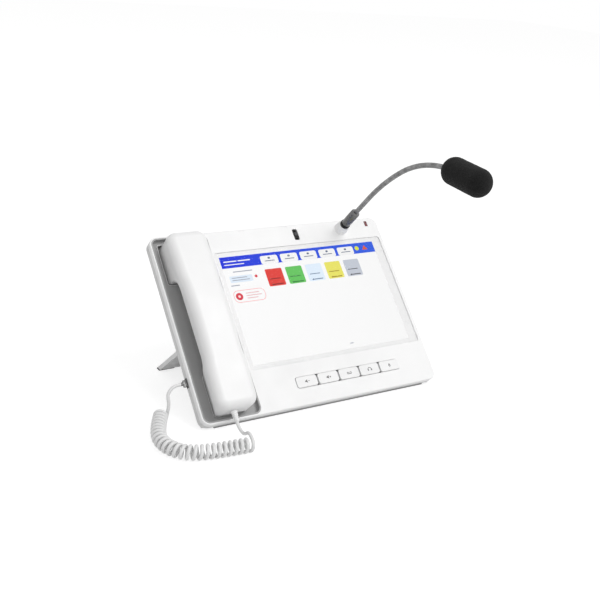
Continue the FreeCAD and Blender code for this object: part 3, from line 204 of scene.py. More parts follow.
bright_metal = brushed("bright_metal", grey(0.44), rough=0.24, stretch=(1.0, 1.0, 0.03), shade=0.06)
zinc = brushed("zinc", grey(0.66), rough=0.35, stretch=(1.0, 0.2, 1.0))
cast_weight = moulded("cast_weight", grey(0.42), rough=0.55, shade=0.08, grain=500.0, depth=0.0002,
                      metallic=0.9)
gold = brushed("gold", (0.86, 0.68, 0.34), rough=0.25, stretch=(1.0, 0.1, 1.0), shade=0.05)


def neck_finish():
    """Wound steel neck, satin chrome with dark valleys between its turns."""
    made = Shader("neck_metal")
    made.colour(made.noise(160.0, 4.0), [(0.3, grey(0.42)), (0.7, grey(0.60))])
    made.gloss(made.noise(500.0, 3.0), 0.28, 0.45)
    made.bumps((made.noise(1800.0, 2.0), 0.00003, 0.3))
    made.shader.inputs["Metallic"].default_value = 0.85
    return made.material


def foam_finish():
    """Open-cell foam, matt black: cell middles painted darker than cell walls, painted shade in the hollows
    and painted highlight on the struts.
    """
    made = Shader("foam")
    cells = made.node("ShaderNodeTexVoronoi", Scale=1100.0)
    made.link(made.place, cells.inputs["Vector"])
    # Dark cell middles and paler cell walls: painted shade in the hollows, painted highlight on the struts.
    made.colour(cells.outputs["Distance"], [(0.1, grey(0.05)), (0.55, grey(0.10)), (0.9, grey(0.13))])
    made.gloss(made.noise(300.0), 0.88, 1.0)
    made.bumps((made.noise(420.0, 3.0), 0.0004, 0.5), (cells.outputs["Distance"], 0.0005, 0.8))
    made.shader.inputs["Specular IOR Level"].default_value = 0.15
    made.shader.inputs["Sheen Weight"].default_value = 0.05
    made.shader.inputs["Sheen Roughness"].default_value = 0.6
    return made.material


def circuit_finish():
    """Green solder mask over paths of copper."""
    made = Shader("circuit")
    paths = made.node("ShaderNodeTexBrick", Scale=160.0)
    made.link(made.place, paths.inputs["Vector"])
    made.colour(paths.outputs["Fac"], [(0.2, (0.05, 0.30, 0.14)), (0.8, (0.16, 0.48, 0.24))])
    made.gloss(made.noise(200.0), 0.3, 0.5)
    made.bumps((paths.outputs["Fac"], 0.00005, 0.4))
    return made.material


def glass_finish():
    """Thin clear cover glass with faint wipe marks."""
    made = Shader("glass")
    made.colour(made.noise(12.0, 3.0), [(0.3, grey(0.97)), (0.7, grey(1.0))])
    made.gloss(made.noise(20.0, 5.0), 0.05, 0.13)
    made.bumps((made.noise(9.0, 1.0), 0.00002, 0.05))
    made.shader.inputs["Alpha"].default_value = 0.035
    made.shader.inputs["Specular IOR Level"].default_value = 0.5
    return made.material


def clear_finish():
    """Clear polycarbonate of the modular plug; its grey is partly the metal behind it and partly painted
    shade inside the plug.
    """
    made = Shader("clear_plug")
    # The grey is partly painted shade inside the clear plug.
    made.colour(made.noise(500.0, 2.0), [(0.35, grey(0.42)), (0.65, grey(0.72))])
    made.gloss(made.noise(300.0), 0.06, 0.16)
    made.bumps((made.noise(700.0), 0.00003, 0.2))
    made.shader.inputs["Transmission Weight"].default_value = 0.55
    made.shader.inputs["IOR"].default_value = 1.58
    return made.material


def light_finish():
    """Dark red lens of the indicator, unlit."""
    made = Shader("red_light")
    made.colour(made.noise(350.0), [(0.3, (0.34, 0.07, 0.10)), (0.7, (0.48, 0.12, 0.15))])
    made.gloss(made.noise(200.0), 0.12, 0.25)
    made.bumps((made.noise(900.0), 0.00003, 0.3))
    made.shader.inputs["Coat Weight"].default_value = 0.6
    return made.material


def lens_finish():
    """Coated glass of the camera's lens, nearly black."""
    made = Shader("lens")
    made.colour(made.noise(200.0), [(0.3, (0.02, 0.02, 0.05)), (0.7, (0.05, 0.06, 0.12))])
    made.gloss(made.noise(100.0), 0.10, 0.18)
    made.bumps((made.noise(300.0), 0.00001, 0.05))
    made.shader.inputs["Specular IOR Level"].default_value = 0.25
    return made.material


neck_metal, foam, circuit = neck_finish(), foam_finish(), circuit_finish()
glass, clear_plug, red_light, lens = glass_finish(), clear_finish(), light_finish(), lens_finish()

# ---------------------------------------------------------------- CAD nodes that stay
finishes = {
    "front_shell": white_shell, "rear_cover": cover_grey, "cradle": cradle_grey, "cover_glass": glass,
    "display_module": black_plastic, "key_mat": silicone, "key_board": circuit, "camera_drum": black_gloss,
    "camera_lens": lens, "camera_bracket": black_plastic, "indicator_light": red_light,
    "neck_socket": white_shell, "neck_nut": zinc, "neck_collar": black_gloss, "neck_sleeve": bright_metal,
    "microphone_housing": black_plastic, "microphone_capsule": steel, "handset_lower_shell": handset_white,
    "handset_upper_shell": handset_white, "handset_weight": cast_weight, "handset_screws": zinc,
    "mouthpiece_grille": handset_white, "mouthpiece_capsule": black_plastic,
    "earpiece_grille": handset_white, "earpiece_capsule": black_plastic, "hook_plunger": cradle_grey,
    "hook_switch": black_plastic,
    "cord_socket": black_plastic, "base_plug": clear_plug, "main_board": circuit, "board_shield": steel,
    "board_screws": zinc, "network_sockets": black_plastic, "power_inlet": black_plastic, "power_pin": steel,
    "loudspeaker": black_plastic, "case_screws": zinc, "front_foot": foot_rubber, "kickstand": stand_grey,
    "kickstand_feet": rubber, "hinge_pins": steel, "hinge_brackets": stand_grey, "hinge_screws": zinc,
}
finishes.update({f"key_{number}": key_white for number in range(1, 6)})
for name, material in finishes.items():
    for place in nodes[name].material_slots:
        place.link = "OBJECT"
        place.material = material

# Sharp moulded edges get the small radius that catches light.
edge_radii = {
    "cradle": 0.25, "kickstand": 0.5, "hinge_brackets": 0.3, "base_plug": 0.25, "network_sockets": 0.2,
    "power_inlet": 0.25, "neck_socket": 0.35, "neck_collar": 0.3, "neck_sleeve": 0.3, "indicator_light": 0.2,
}
for name, radius in edge_radii.items():
    weld = nodes[name].modifiers.new("weld", "WELD")
    weld.merge_threshold = 0.000001
    bevel = nodes[name].modifiers.new("edges", "BEVEL")
    bevel.width = radius * MM
    bevel.segments = 3
    bevel.limit_method = "ANGLE"
    bevel.angle_limit = math.radians(40.0)
    bevel.harden_normals = True


# ---------------------------------------------------------------- builders
DISC_SIDES = 24
RING_STEPS = 6


def piece(name, mesh, material, body, smooth=True):
    """New object of that mesh with that material, riding on a body when one is given."""
    mesh.materials.append(material)
    made = bpy.data.objects.new(name, mesh)
    bpy.context.collection.objects.link(made)
    for face in mesh.polygons:
        face.use_smooth = smooth
    if body:
        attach(made, body)
    return made


def flat(name, outlines, w, material, body):
    """Printed or lit areas on the panel, outlines in panel millimetres, counter-clockwise."""
    vertices, faces = [], []
    for points in outlines:
        faces.append(range(len(vertices), len(vertices) + len(points)))
        vertices += [at(x, v, w) for x, v in points]
    mesh = bpy.data.meshes.new(name)
    mesh.from_pydata(vertices, [], faces)
    return piece(name, mesh, material, body, False)


def blocks(name, boxes, material, body):
    """Small boxes (x0, x1, v0, v1, w0, w1) in panel millimetres."""
    vertices, faces = [], []
    for x0, x1, v0, v1, w0, w1 in boxes:
        n = len(vertices)
        vertices += [at(x, v, w) for w in (w0, w1) for x, v in ((x0, v0), (x1, v0), (x1, v1), (x0, v1))]
        faces += [(n + 3, n + 2, n + 1, n), (n + 4, n + 5, n + 6, n + 7)]
        faces += [(n + k, n + (k + 1) % 4, n + 4 + (k + 1) % 4, n + 4 + k) for k in range(4)]
    mesh = bpy.data.meshes.new(name)
    mesh.from_pydata(vertices, [], faces)
    return piece(name, mesh, material, body, False)


def rounded(x0, x1, v0, v1, radius=0.0, steps=5):
    """Rectangle with round corners, counter-clockwise."""
    if radius <= 0:
        return [(x0, v0), (x1, v0), (x1, v1), (x0, v1)]
    points = []
    for cx, cv, first in ((x1 - radius, v0 + radius, -90), (x1 - radius, v1 - radius, 0),
                          (x0 + radius, v1 - radius, 90), (x0 + radius, v0 + radius, 180)):
        for step in range(steps + 1):
            angle = math.radians(first + 90 * step / steps)
            points.append((cx + radius * math.cos(angle), cv + radius * math.sin(angle)))
    return points


def disc(x, v, radius):
    turns = [2 * math.pi * k / DISC_SIDES for k in range(DISC_SIDES)]
    return [(x + radius * math.cos(turn), v + radius * math.sin(turn)) for turn in turns]


def ring(x0, x1, v0, v1, radius, width):
    """Outline of even width as small quads."""
    outer = rounded(x0, x1, v0, v1, radius, RING_STEPS)
    inner = rounded(x0 + width, x1 - width, v0 + width, v1 - width, radius - width, RING_STEPS)
    count = len(outer)
    return [[outer[k], outer[(k + 1) % count], inner[(k + 1) % count], inner[k]] for k in range(count)]


def tube_mesh(name, vertices, rows, sides):
    """Mesh of rows of points, so many to a row, closed at both ends."""
    faces = []
    for row in range(rows - 1):
        for side in range(sides):
            a, b = row * sides + side, row * sides + (side + 1) % sides
            faces.append((a, b, b + sides, a + sides))
    faces.append(tuple(reversed(range(sides))))
    faces.append(tuple(range((rows - 1) * sides, rows * sides)))
    mesh = bpy.data.meshes.new(name)
    mesh.from_pydata(vertices, [], faces)
    return mesh


def sweep(name, points, radius, sides, material):
    """Closed tube along points. radius(number, angle) is the radius there in metres."""
    across = None
    vertices = []
    last = len(points) - 1
    for number, point in enumerate(points):
        ahead = (points[min(number + 1, last)] - points[max(number - 1, 0)]).normalized()
        if across is None:
            across = ahead.orthogonal().normalized()
        across = (across - ahead * across.dot(ahead)).normalized()
        third = ahead.cross(across)
        for side in range(sides):
            angle = 2 * math.pi * side / sides
            out = across * math.cos(angle) + third * math.sin(angle)
            vertices.append(point + out * radius(number, angle))
    return piece(name, tube_mesh(name, vertices, len(points), sides), material, None)


def turned(name, start, axis, profile, sides, material, stir=None):
    """Turned form of a profile of (distance, radius) in millimetres. stir(point) moves a point outwards."""
    axis = axis.normalized()
    across = axis.orthogonal().normalized()
    third = axis.cross(across)
    vertices = []
    for distance, radius in profile:
        for side in range(sides):
            angle = 2 * math.pi * side / sides
            out = across * math.cos(angle) + third * math.sin(angle)
            point = start + axis * distance * MM + out * radius * MM
            vertices.append(point + out * stir(point) if stir else point)
    return piece(name, tube_mesh(name, vertices, len(profile), sides), material, None)


# ---------------------------------------------------------------- screen
# Areas as (left, right, bottom, top) in panel millimetres, levels out of the face.
SCREEN = (-77.9, 139.1, 56.7, 192.3)
GLASS = (-83.1, 151.7, 50.7, 198.3)
BORDER_INSET, BORDER_CORNER = 0.2, 3.8
GAP_RING_REACH, GAP_RING_CORNER, GAP_RING_WIDTH = 0.14, 4.1, 0.3
GAP_RING_LEVEL = -0.06
BORDER_LEVEL, PICTURE_LEVEL, ITEM_LEVEL, DETAIL_LEVEL, TOP_LEVEL = -1.17, -1.13, -1.09, -1.05, -1.01


def grown(area, reach):
    """Area with each of its sides moved outwards by that reach."""
    return area[0] - reach, area[1] + reach, area[2] - reach, area[3] + reach


def shown(name, outlines, level, colour_name, *colours):
    """Lit item of the picture on the panel."""
    flat(name, outlines, level, lit(colour_name, *colours), "case")


flat("printed_border", [rounded(*grown(GLASS, -BORDER_INSET), BORDER_CORNER)], BORDER_LEVEL, border_white,
     "case")
# Pale ring in the fit gap round the glass: painted light that keeps the gap's shade line faint.
flat("pale_gap_ring", ring(*grown(GLASS, GAP_RING_REACH), GAP_RING_CORNER, GAP_RING_WIDTH), GAP_RING_LEVEL,
     border_white, "case")
shown("screen_picture", [rounded(*SCREEN)], PICTURE_LEVEL, "picture_white", grey(0.985), grey(0.97))

HEADER_BOTTOM = 177.6
shown("screen_header", [rounded(SCREEN[0], SCREEN[1], HEADER_BOTTOM, SCREEN[3])], ITEM_LEVEL, "header_blue",
      (0.0, 0.16, 0.86), (0.17, 0.38, 0.88))
ITEM_COUNT = 5
TAB_LEFT, TAB_WIDTH, TAB_PITCH, TAB_TOP, TAB_CORNER = -25.6, 23.5, 27.3, 188.6, 2.4
LOW_BAR_INSET, HIGH_BAR_INSET = 5.0, 10.2
tabs = [TAB_LEFT + TAB_PITCH * k for k in range(ITEM_COUNT)]
white_items = [rounded(x, x + TAB_WIDTH, HEADER_BOTTOM, TAB_TOP, TAB_CORNER) for x in tabs]
white_items += [rounded(-74.0, -57.0, 185.2, 186.6, 0.6), rounded(-55.5, -39.0, 185.2, 186.6, 0.6),
                rounded(-74.0, -48.0, 181.2, 182.3, 0.5)]
shown("screen_tabs", white_items, DETAIL_LEVEL, "tab_white", grey(0.97))
tab_bars = [rounded(x + LOW_BAR_INSET, x + TAB_WIDTH - LOW_BAR_INSET, 181.2, 182.2, 0.5) for x in tabs]
tab_bars += [rounded(x + HIGH_BAR_INSET, x + TAB_WIDTH - HIGH_BAR_INSET, 184.2, 186.6, 0.6) for x in tabs]
shown("screen_tab_bars", tab_bars, TOP_LEVEL, "bar_slate", (0.36, 0.41, 0.52))
shown("screen_yellow_dot", [disc(113.0, 184.9, 3.0)], TOP_LEVEL, "dot_yellow", (0.88, 0.90, 0.25))
shown("screen_orange_mark", [[(120.6, 182.0), (128.8, 182.0), (124.7, 188.4)]], TOP_LEVEL, "mark_orange",
      (0.86, 0.36, 0.22))

TILE_LEFT, TILE_SIZE, TILE_PITCH, TILE_TOP, TILE_CORNER = -24.9, 22.6, 27.7, 170.9, 1.6
tiles = [TILE_LEFT + TILE_PITCH * k for k in range(ITEM_COUNT)]
tile_colours = [((0.86, 0.20, 0.17), (0.93, 0.28, 0.24)), ((0.36, 0.75, 0.33), (0.42, 0.80, 0.40)),
                ((0.86, 0.92, 0.98), (0.90, 0.95, 1.0)), ((0.90, 0.87, 0.31), (0.92, 0.90, 0.42)),
                ((0.72, 0.75, 0.80), (0.78, 0.80, 0.84))]
for number, (x, colours) in enumerate(zip(tiles, tile_colours), 1):
    shown(f"screen_tile_{number}", [rounded(x, x + TILE_SIZE, TILE_TOP - TILE_SIZE, TILE_TOP, TILE_CORNER)],
          ITEM_LEVEL, f"tile_{number}", *colours)
bar_colours = [(0.45, 0.10, 0.10), (0.14, 0.42, 0.20), (0.40, 0.50, 0.62), (0.62, 0.50, 0.12),
               (0.30, 0.30, 0.33)]
for number, (x, colour) in enumerate(zip(tiles, bar_colours), 1):
    lower_bar = rounded(x + 5.2, x + TILE_SIZE - 3.0, TILE_TOP - 21.0, TILE_TOP - 19.8, 0.5)
    upper_bar = rounded(x + 3.0, x + TILE_SIZE - 5.0, TILE_TOP - 13.6, TILE_TOP - 12.6, 0.4)
    shown(f"screen_tile_bars_{number}", [lower_bar, disc(x + 5.4, TILE_TOP - 20.4, 1.1), upper_bar],
          DETAIL_LEVEL, f"tile_bar_{number}", colour)

shown("screen_pale_box", [rounded(-72.6, -43.0, 158.6, 167.0, 1.2)], ITEM_LEVEL, "box_blue",
      (0.88, 0.93, 0.98))
shown("screen_bars", [rounded(-66.0, -40.6, 171.6, 172.8, 0.5), rounded(-73.7, -62.4, 154.4, 155.6, 0.5),
                      rounded(-70.0, -50.0, 164.0, 165.0, 0.4), rounded(-70.0, -47.0, 161.0, 162.0, 0.4),
                      rounded(54.6, 59.4, 62.4, 63.4, 0.4)],
      DETAIL_LEVEL, "bar_grey", (0.62, 0.64, 0.70))
PILL = (-74.5, -33.5, 133.2, 148.6)
ICON_X, ICON_V = -67.5, 140.9
shown("screen_pill_outline", ring(*PILL, 6.0, 0.7), ITEM_LEVEL, "pill_pink", (0.97, 0.66, 0.67))
shown("screen_pill_icon", [disc(ICON_X, ICON_V, 4.6), disc(-38.2, 164.0, 1.9)], DETAIL_LEVEL, "icon_red",
      (0.85, 0.22, 0.28))
shown("screen_pill_ring", [disc(ICON_X, ICON_V, 1.7)], TOP_LEVEL, "icon_light", (0.98, 0.86, 0.86))
pill_bars = [rounded(-58.5, -41.0, 143.6, 144.6, 0.4), rounded(-58.5, -38.5, 140.4, 141.4, 0.4),
             rounded(-58.5, -44.0, 137.2, 138.2, 0.4)]
shown("screen_pill_bars", pill_bars, DETAIL_LEVEL, "bar_rose", (0.90, 0.70, 0.72))

# ---------------------------------------------------------------- key symbols
KEY_MIDDLE_X, KEY_PITCH, KEY_MIDDLE_V, KEY_TOP = 37.7, 28.8, 26.9, 1.23
HOOP_STEPS = 14


def speaker(x, v):
    """Cone and magnet of the loudspeaker sign."""
    return [(x - 2.6, v - 0.8), (x - 1.4, v - 0.8), (x + 0.3, v - 2.1), (x + 0.3, v + 2.1),
            (x - 1.4, v + 0.8), (x - 2.6, v + 0.8)]


def bar(x, v, half_width, half_height):
    return [(x - half_width, v - half_height), (x + half_width, v - half_height),
            (x + half_width, v + half_height), (x - half_width, v + half_height)]


def hoop(x, v, outer, inner, first, last):
    """Part of a ring as small quads, angles in degrees."""
    quads = []
    for k in range(HOOP_STEPS):
        a = math.radians(first + (last - first) * k / HOOP_STEPS)
        b = math.radians(first + (last - first) * (k + 1) / HOOP_STEPS)
        quads.append([(x + inner * math.cos(a), v + inner * math.sin(a)),
                      (x + outer * math.cos(a), v + outer * math.sin(a)),
                      (x + outer * math.cos(b), v + outer * math.sin(b)),
                      (x + inner * math.cos(b), v + inner * math.sin(b))])
    return quads


softer_x, louder_x, tape_x, headset_x, microphone_x = [KEY_MIDDLE_X + KEY_PITCH * (k - 2) for k in range(5)]
v = KEY_MIDDLE_V
symbols = [
    [speaker(softer_x, v), bar(softer_x + 2.3, v, 1.0, 0.3)],
    [speaker(louder_x, v), bar(louder_x + 2.3, v, 1.0, 0.3), bar(louder_x + 2.3, v, 0.3, 1.0)],
    hoop(tape_x - 1.9, v, 1.4, 0.8, 0, 360) + hoop(tape_x + 1.9, v, 1.4, 0.8, 0, 360)
    + [bar(tape_x, v - 1.1, 1.9, 0.3)],
    hoop(headset_x, v - 0.4, 2.6, 2.0, 0, 180)
    + [rounded(headset_x - 3.0, headset_x - 1.6, v - 2.0, v + 0.2, 0.4),
       rounded(headset_x + 1.6, headset_x + 3.0, v - 2.0, v + 0.2, 0.4)],
    [rounded(microphone_x - 0.8, microphone_x + 0.8, v - 0.6, v + 2.0, 0.78)]
    + hoop(microphone_x, v, 1.7, 1.2, 180, 360) + [bar(microphone_x, v - 2.0, 0.25, 0.4)],
]
for number, outlines in enumerate(symbols, 1):
    flat(f"key_symbol_{number}", outlines, KEY_TOP, print_grey, f"key_{number}")

# ---------------------------------------------------------------- painted highlight on the rims of the cradle's wells
# Each well as (low end, high end, half width) in panel millimetres.
HANDSET_X = -119.75
MOUTH_WELL, EAR_WELL = (9.67, 55.9, 19.24), (167.1, 217.33, 26.2)
RIM_LEVEL, RIM_REACH, RIM_CORNER, RIM_HIGHLIGHT_WIDTH = -5.17, 0.95, 3.4, 0.6
well_rim_highlights = []
for low, high, half in (MOUTH_WELL, EAR_WELL):
    rim = grown((HANDSET_X - half, HANDSET_X + half, low, high), RIM_REACH)
    well_rim_highlights += ring(*rim, RIM_CORNER, RIM_HIGHLIGHT_WIDTH)
# A pale ring on each rim's top, a painted highlight where the rim's edge catches the light.
flat("well_rim_highlights", well_rim_highlights, RIM_LEVEL, rim_highlight_grey, "case")

# ---------------------------------------------------------------- contacts in the network sockets
SOCKET_MOUTH, SOCKET_ROOF, SOCKET_ROWS = 125.0, -17.1, (122.0, 141.0)
CONTACT_COUNT, CONTACT_PITCH, CONTACT_HALF_WIDTH = 8, 1.02, 0.2
CONTACT_FAR, CONTACT_NEAR = 10.5, 3.0
contacts = []
for row in SOCKET_ROWS:
    for k in range(CONTACT_COUNT):
        middle = row + CONTACT_PITCH * (k - (CONTACT_COUNT - 1) / 2)
        contacts.append((SOCKET_MOUTH - CONTACT_FAR, SOCKET_MOUTH - CONTACT_NEAR,
                         middle - CONTACT_HALF_WIDTH, middle + CONTACT_HALF_WIDTH,
                         SOCKET_ROOF - 0.5, SOCKET_ROOF - 0.1))
blocks("socket_contacts", contacts, gold, "case")

# ---------------------------------------------------------------- gooseneck
NECK_X, NECK_V = 99.5, 213.5
NECK_RADIUS = 3.0
SLEEVE_END = 43.0
FIRST_BEND_START, FIRST_BEND_RADIUS, FIRST_BEND_ANGLE = 75.0, 300.0, 13.4
SECOND_BEND_RADIUS, HEAD_ANGLE = 150.0, 50.5
FIRST_BEND_LENGTH = math.radians(FIRST_BEND_ANGLE) * FIRST_BEND_RADIUS
NECK_LENGTH = (FIRST_BEND_START + FIRST_BEND_LENGTH
               + math.radians(HEAD_ANGLE - FIRST_BEND_ANGLE) * SECOND_BEND_RADIUS)
NECK_JOINTS = [46.3, 92.3, 138.3]
NECK_PITCH, STEPS_PER_TURN, NECK_SIDES = 1.5, 8, 28
RIDGE_DEPTH, RIDGE_ROUNDNESS = 0.32, 0.6


def neck_at(distance):
    """Point on the neck's middle line, distance in millimetres from the face."""
    v, w = NECK_V, min(distance, FIRST_BEND_START)
    angle = 0.0
    for radius, start, length in ((FIRST_BEND_RADIUS, FIRST_BEND_START, FIRST_BEND_LENGTH),
                                  (SECOND_BEND_RADIUS, FIRST_BEND_START + FIRST_BEND_LENGTH, NECK_LENGTH)):
        turn = min(max(distance - start, 0.0), length) / radius
        v += radius * (math.cos(angle + turn) - math.cos(angle))
        w += radius * (math.sin(angle + turn) - math.sin(angle))
        angle += turn
    return at(NECK_X, v, w)


def wound_neck(name, start, end, turn_start, turn_end, node):
    """One length of the wound neck, swept along the neck's middle line in place of a CAD node, which it
    hides.
    """
    count = int((end - start) / NECK_PITCH * STEPS_PER_TURN)
    places = [start + (end - start) * k / count for k in range(count + 1)]

    def radius(number, angle):
        phase = 2 * math.pi * places[number] / NECK_PITCH - angle
        return (NECK_RADIUS - RIDGE_DEPTH * (1 - abs(math.cos(phase / 2)) ** RIDGE_ROUNDNESS)) * MM

    made = sweep(name, [neck_at(s) for s in places], radius, NECK_SIDES, neck_metal)
    neck_at(turn_start)
    neck_at(turn_end)
    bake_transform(made)
    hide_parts(node)


LOWER_SPLIT, UPPER_SPLIT = (NECK_JOINTS[0] + NECK_JOINTS[1]) / 2, (NECK_JOINTS[1] + NECK_JOINTS[2]) / 2
wound_neck("neck_winding_lower", SLEEVE_END - 1.0, LOWER_SPLIT, SLEEVE_END,
           LOWER_SPLIT, "neck_1")
wound_neck("neck_winding_middle", LOWER_SPLIT, UPPER_SPLIT, LOWER_SPLIT,
           UPPER_SPLIT, "neck_2")
wound_neck("neck_winding_upper", UPPER_SPLIT, NECK_LENGTH, UPPER_SPLIT,
           2 * NECK_JOINTS[2] - UPPER_SPLIT, "neck_3")

# ---------------------------------------------------------------- foam windscreen
WINDSCREEN_LENGTH, WINDSCREEN_RADIUS, WINDSCREEN_LAP = 64.5, 15.5, 15.5
REAR_ROUND, NECK_CLEARANCE = 13.0, 0.3
FRONT_ROUND = WINDSCREEN_RADIUS - 1.0
SIDE_END = WINDSCREEN_LENGTH - FRONT_ROUND
REAR_STEPS, SIDE_STEPS, FRONT_STEPS, FOAM_SIDES = 44, 150, 64, 220
CELL_SCALE, CELL_DEPTH = 1500.0, 0.00022
HOLLOW_SCALE, HOLLOW_DEPTH = 130.0, 0.00035
head_end = neck_at(NECK_LENGTH)
head_way = OUT * math.cos(math.radians(HEAD_ANGLE)) - UP_FACE * math.sin(math.radians(HEAD_ANGLE))
foam_start = head_end - head_way * WINDSCREEN_LAP * MM
profile = [(0.0, NECK_RADIUS + NECK_CLEARANCE)]
for k in range(REAR_STEPS + 1):
    angle = math.pi / 2 * k / REAR_STEPS
    profile.append((REAR_ROUND * (1 - math.cos(angle)),
                    WINDSCREEN_RADIUS - REAR_ROUND * (1 - math.sin(angle))))
for k in range(1, SIDE_STEPS):
    profile.append((REAR_ROUND + (SIDE_END - REAR_ROUND) * k / SIDE_STEPS, WINDSCREEN_RADIUS))
for k in range(FRONT_STEPS + 1):
    angle = math.pi / 2 * k / FRONT_STEPS
    profile.append((SIDE_END + FRONT_ROUND * math.sin(angle),
                    WINDSCREEN_RADIUS - FRONT_ROUND * (1 - math.cos(angle))))


def foam_stir(point):
    """Cell walls and soft hollows of the cut foam, never proud of its outline."""
    fine = noise.noise(point * CELL_SCALE)
    coarse = noise.noise(point * HOLLOW_SCALE)
    return -CELL_DEPTH * (1 + fine) / 2 - HOLLOW_DEPTH * (1 + coarse) / 2


windscreen = turned("foam_windscreen", foam_start, head_way, profile, FOAM_SIDES, foam, foam_stir)
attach(windscreen, "microphone")
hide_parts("windscreen")

# ---------------------------------------------------------------- cords
# Routes as points in the table's frame, in millimetres.
WIRE = 3.8
COIL_OUTER = 16.5
COIL_RADIUS = (COIL_OUTER - WIRE) / 2
COIL_LEVEL = COIL_OUTER / 2 + 0.05
COIL_TURNS, POINTS_PER_TURN = 26.75, 16
COIL_GUIDE_STEPS, LEAD_GUIDE_STEPS, CORD_STEPS = 64, 16, 6
WIRE_BEVEL_STEPS, LEAD_SIDES = 6, 28
coil_route = [(-126.0, -60.5), (-164.0, -58.5), (-197.0, -49.5), (-210.0, -22.0), (-201.0, 7.0),
              (-186.0, 33.0)]
handset_lead_points = [(-123.0, -32.6, 7.8), (-123.5, -39.5, 8.3)]
base_lead_points = [(-173.2, 34.5, 36.8), (-176.8, 34.0, 33.4), (-179.1, 33.2, 28.9)]
HANDSET_LEAD_FIRST_RUN, HANDSET_LEAD_LAST_RUN = 6.0, 7.8
BASE_LEAD_FIRST_RUN, BASE_LEAD_LAST_RUN = 4.9, 8.0
PANEL_LEFT, BASE_PLUG_OUT = -156.5, 7.2
JACK_V, JACK_W = 53.0, -10.2
BOOT_X, BOOT_W, BOOT_START, BOOT_LENGTH = HANDSET_X - 3.7, 11.5, 7.5, 12.0


def spline(name, controls, bevel, resolution):
    """Smooth curve of one NURBS spline with these control points in metres, a tube if it has a bevel."""
    data = bpy.data.curves.new(name, "CURVE")
    data.dimensions = "3D"
    line = data.splines.new("NURBS")
    line.points.add(len(controls) - 1)
    for point, place in zip(line.points, controls):
        point.co = (*place, 1.0)
    line.order_u = 3
    line.use_endpoint_u = True
    line.resolution_u = resolution
    data.resolution_u = resolution
    if bevel:
        data.bevel_depth = bevel
        data.bevel_resolution = WIRE_BEVEL_STEPS
        data.use_fill_caps = True
    made = bpy.data.objects.new(name, data)
    bpy.context.collection.objects.link(made)
    return made


def points_on(name, controls, resolution):
    """Points read from the spline through these control points."""
    guide = spline(name, controls, 0.0, resolution)
    mesh = bpy.data.meshes.new_from_object(guide)
    points = [vertex.co.copy() for vertex in mesh.vertices]
    bpy.data.objects.remove(guide)
    return points


coil_controls = [Vector((x, y, COIL_LEVEL)) * MM for x, y in coil_route]
coil_line = points_on("coil_guide", coil_controls, COIL_GUIDE_STEPS)
coil_steps = [(b - a).length for a, b in zip(coil_line, coil_line[1:])]
coil_length = sum(coil_steps)


def coil_at(share):
    """Point and heading on the coil's middle line, at a share of its length."""
    left = share * coil_length
    for number, step in enumerate(coil_steps):
        if left <= step or number == len(coil_steps) - 1:
            break
        left -= step
    a, b = coil_line[number], coil_line[number + 1]
    before, after = coil_line[max(number - 1, 0)], coil_line[min(number + 2, len(coil_line) - 1)]
    part = left / step
    heading = ((b - before).normalized() * (1 - part) + (after - a).normalized() * part).normalized()
    return a + (b - a) * part, heading


curl_count = int(COIL_TURNS * POINTS_PER_TURN)
curl_reach = COIL_RADIUS * MM / math.cos(math.pi / POINTS_PER_TURN)
curls = []
for number in range(curl_count + 1):
    middle, heading = coil_at(number / curl_count)
    turn = 2 * math.pi * COIL_TURNS * number / curl_count
    side = Vector((-heading.y, heading.x, 0.0))
    reach = COIL_RADIUS * MM if number in (0, curl_count) else curl_reach
    curls.append(middle + (Vector((0, 0, 1)) * math.cos(turn) + side * math.sin(turn)) * reach)
way_in = (curls[1] - curls[0]).normalized()
way_out = (curls[-1] - curls[-2]).normalized()
coil_start = curls[0] - way_in * WIRE * MM
coil_end = curls[-1] + way_out * WIRE * MM

plug_end = at(PANEL_LEFT - BASE_PLUG_OUT, JACK_V, JACK_W)
base_route = [plug_end, plug_end - ACROSS * BASE_LEAD_FIRST_RUN * MM]
base_route += [Vector(point) * MM for point in base_lead_points]
base_route += [coil_end + way_out * BASE_LEAD_LAST_RUN * MM, coil_end]
curly = spline("curly_cord_wire", base_route + curls[::-1] + [coil_start], WIRE / 2 * MM, CORD_STEPS)
curly.data.materials.append(cord_white)
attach(curly, "case")
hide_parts("curly_cord", "base_lead")

boot_end = at(BOOT_X, BOOT_START - BOOT_LENGTH, BOOT_W)
lead_route = [boot_end, boot_end - UP_FACE * HANDSET_LEAD_FIRST_RUN * MM]
lead_route += [Vector(point) * MM for point in handset_lead_points]
lead_route += [coil_start - way_in * HANDSET_LEAD_LAST_RUN * MM, coil_start]
lead_line = points_on("lead_guide", lead_route, LEAD_GUIDE_STEPS)[::-1]
lead = sweep("handset_lead_wire", lead_line, lambda number, angle: WIRE / 2 * MM, LEAD_SIDES, cord_white)
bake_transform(lead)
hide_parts("handset_lead")

RIB_COUNT, RIB_START, RIB_PITCH = 5, 2.2, 1.9
RIB_RADIUS, RIB_TAPER = 3.65, 0.2
RELIEF_SIDES = 36
relief = [(0.0, 3.9), (1.8, 3.85), (RIB_START, 3.7)]
for k in range(RIB_COUNT):
    base, size = RIB_START + RIB_PITCH * k, RIB_RADIUS - RIB_TAPER * k
    relief += [(base + 0.35, size - 0.5), (base + 0.85, size - 0.55), (base + 1.2, size - 0.1),
               (base + 1.75, size - 0.2)]
relief += [(11.8, 2.6), (BOOT_LENGTH, 2.4)]
boot = turned("ribbed_strain_relief", at(BOOT_X, BOOT_START, BOOT_W), -UP_FACE, relief, RELIEF_SIDES,
              handset_white)
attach(boot, "handset")
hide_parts("handset_strain_relief")

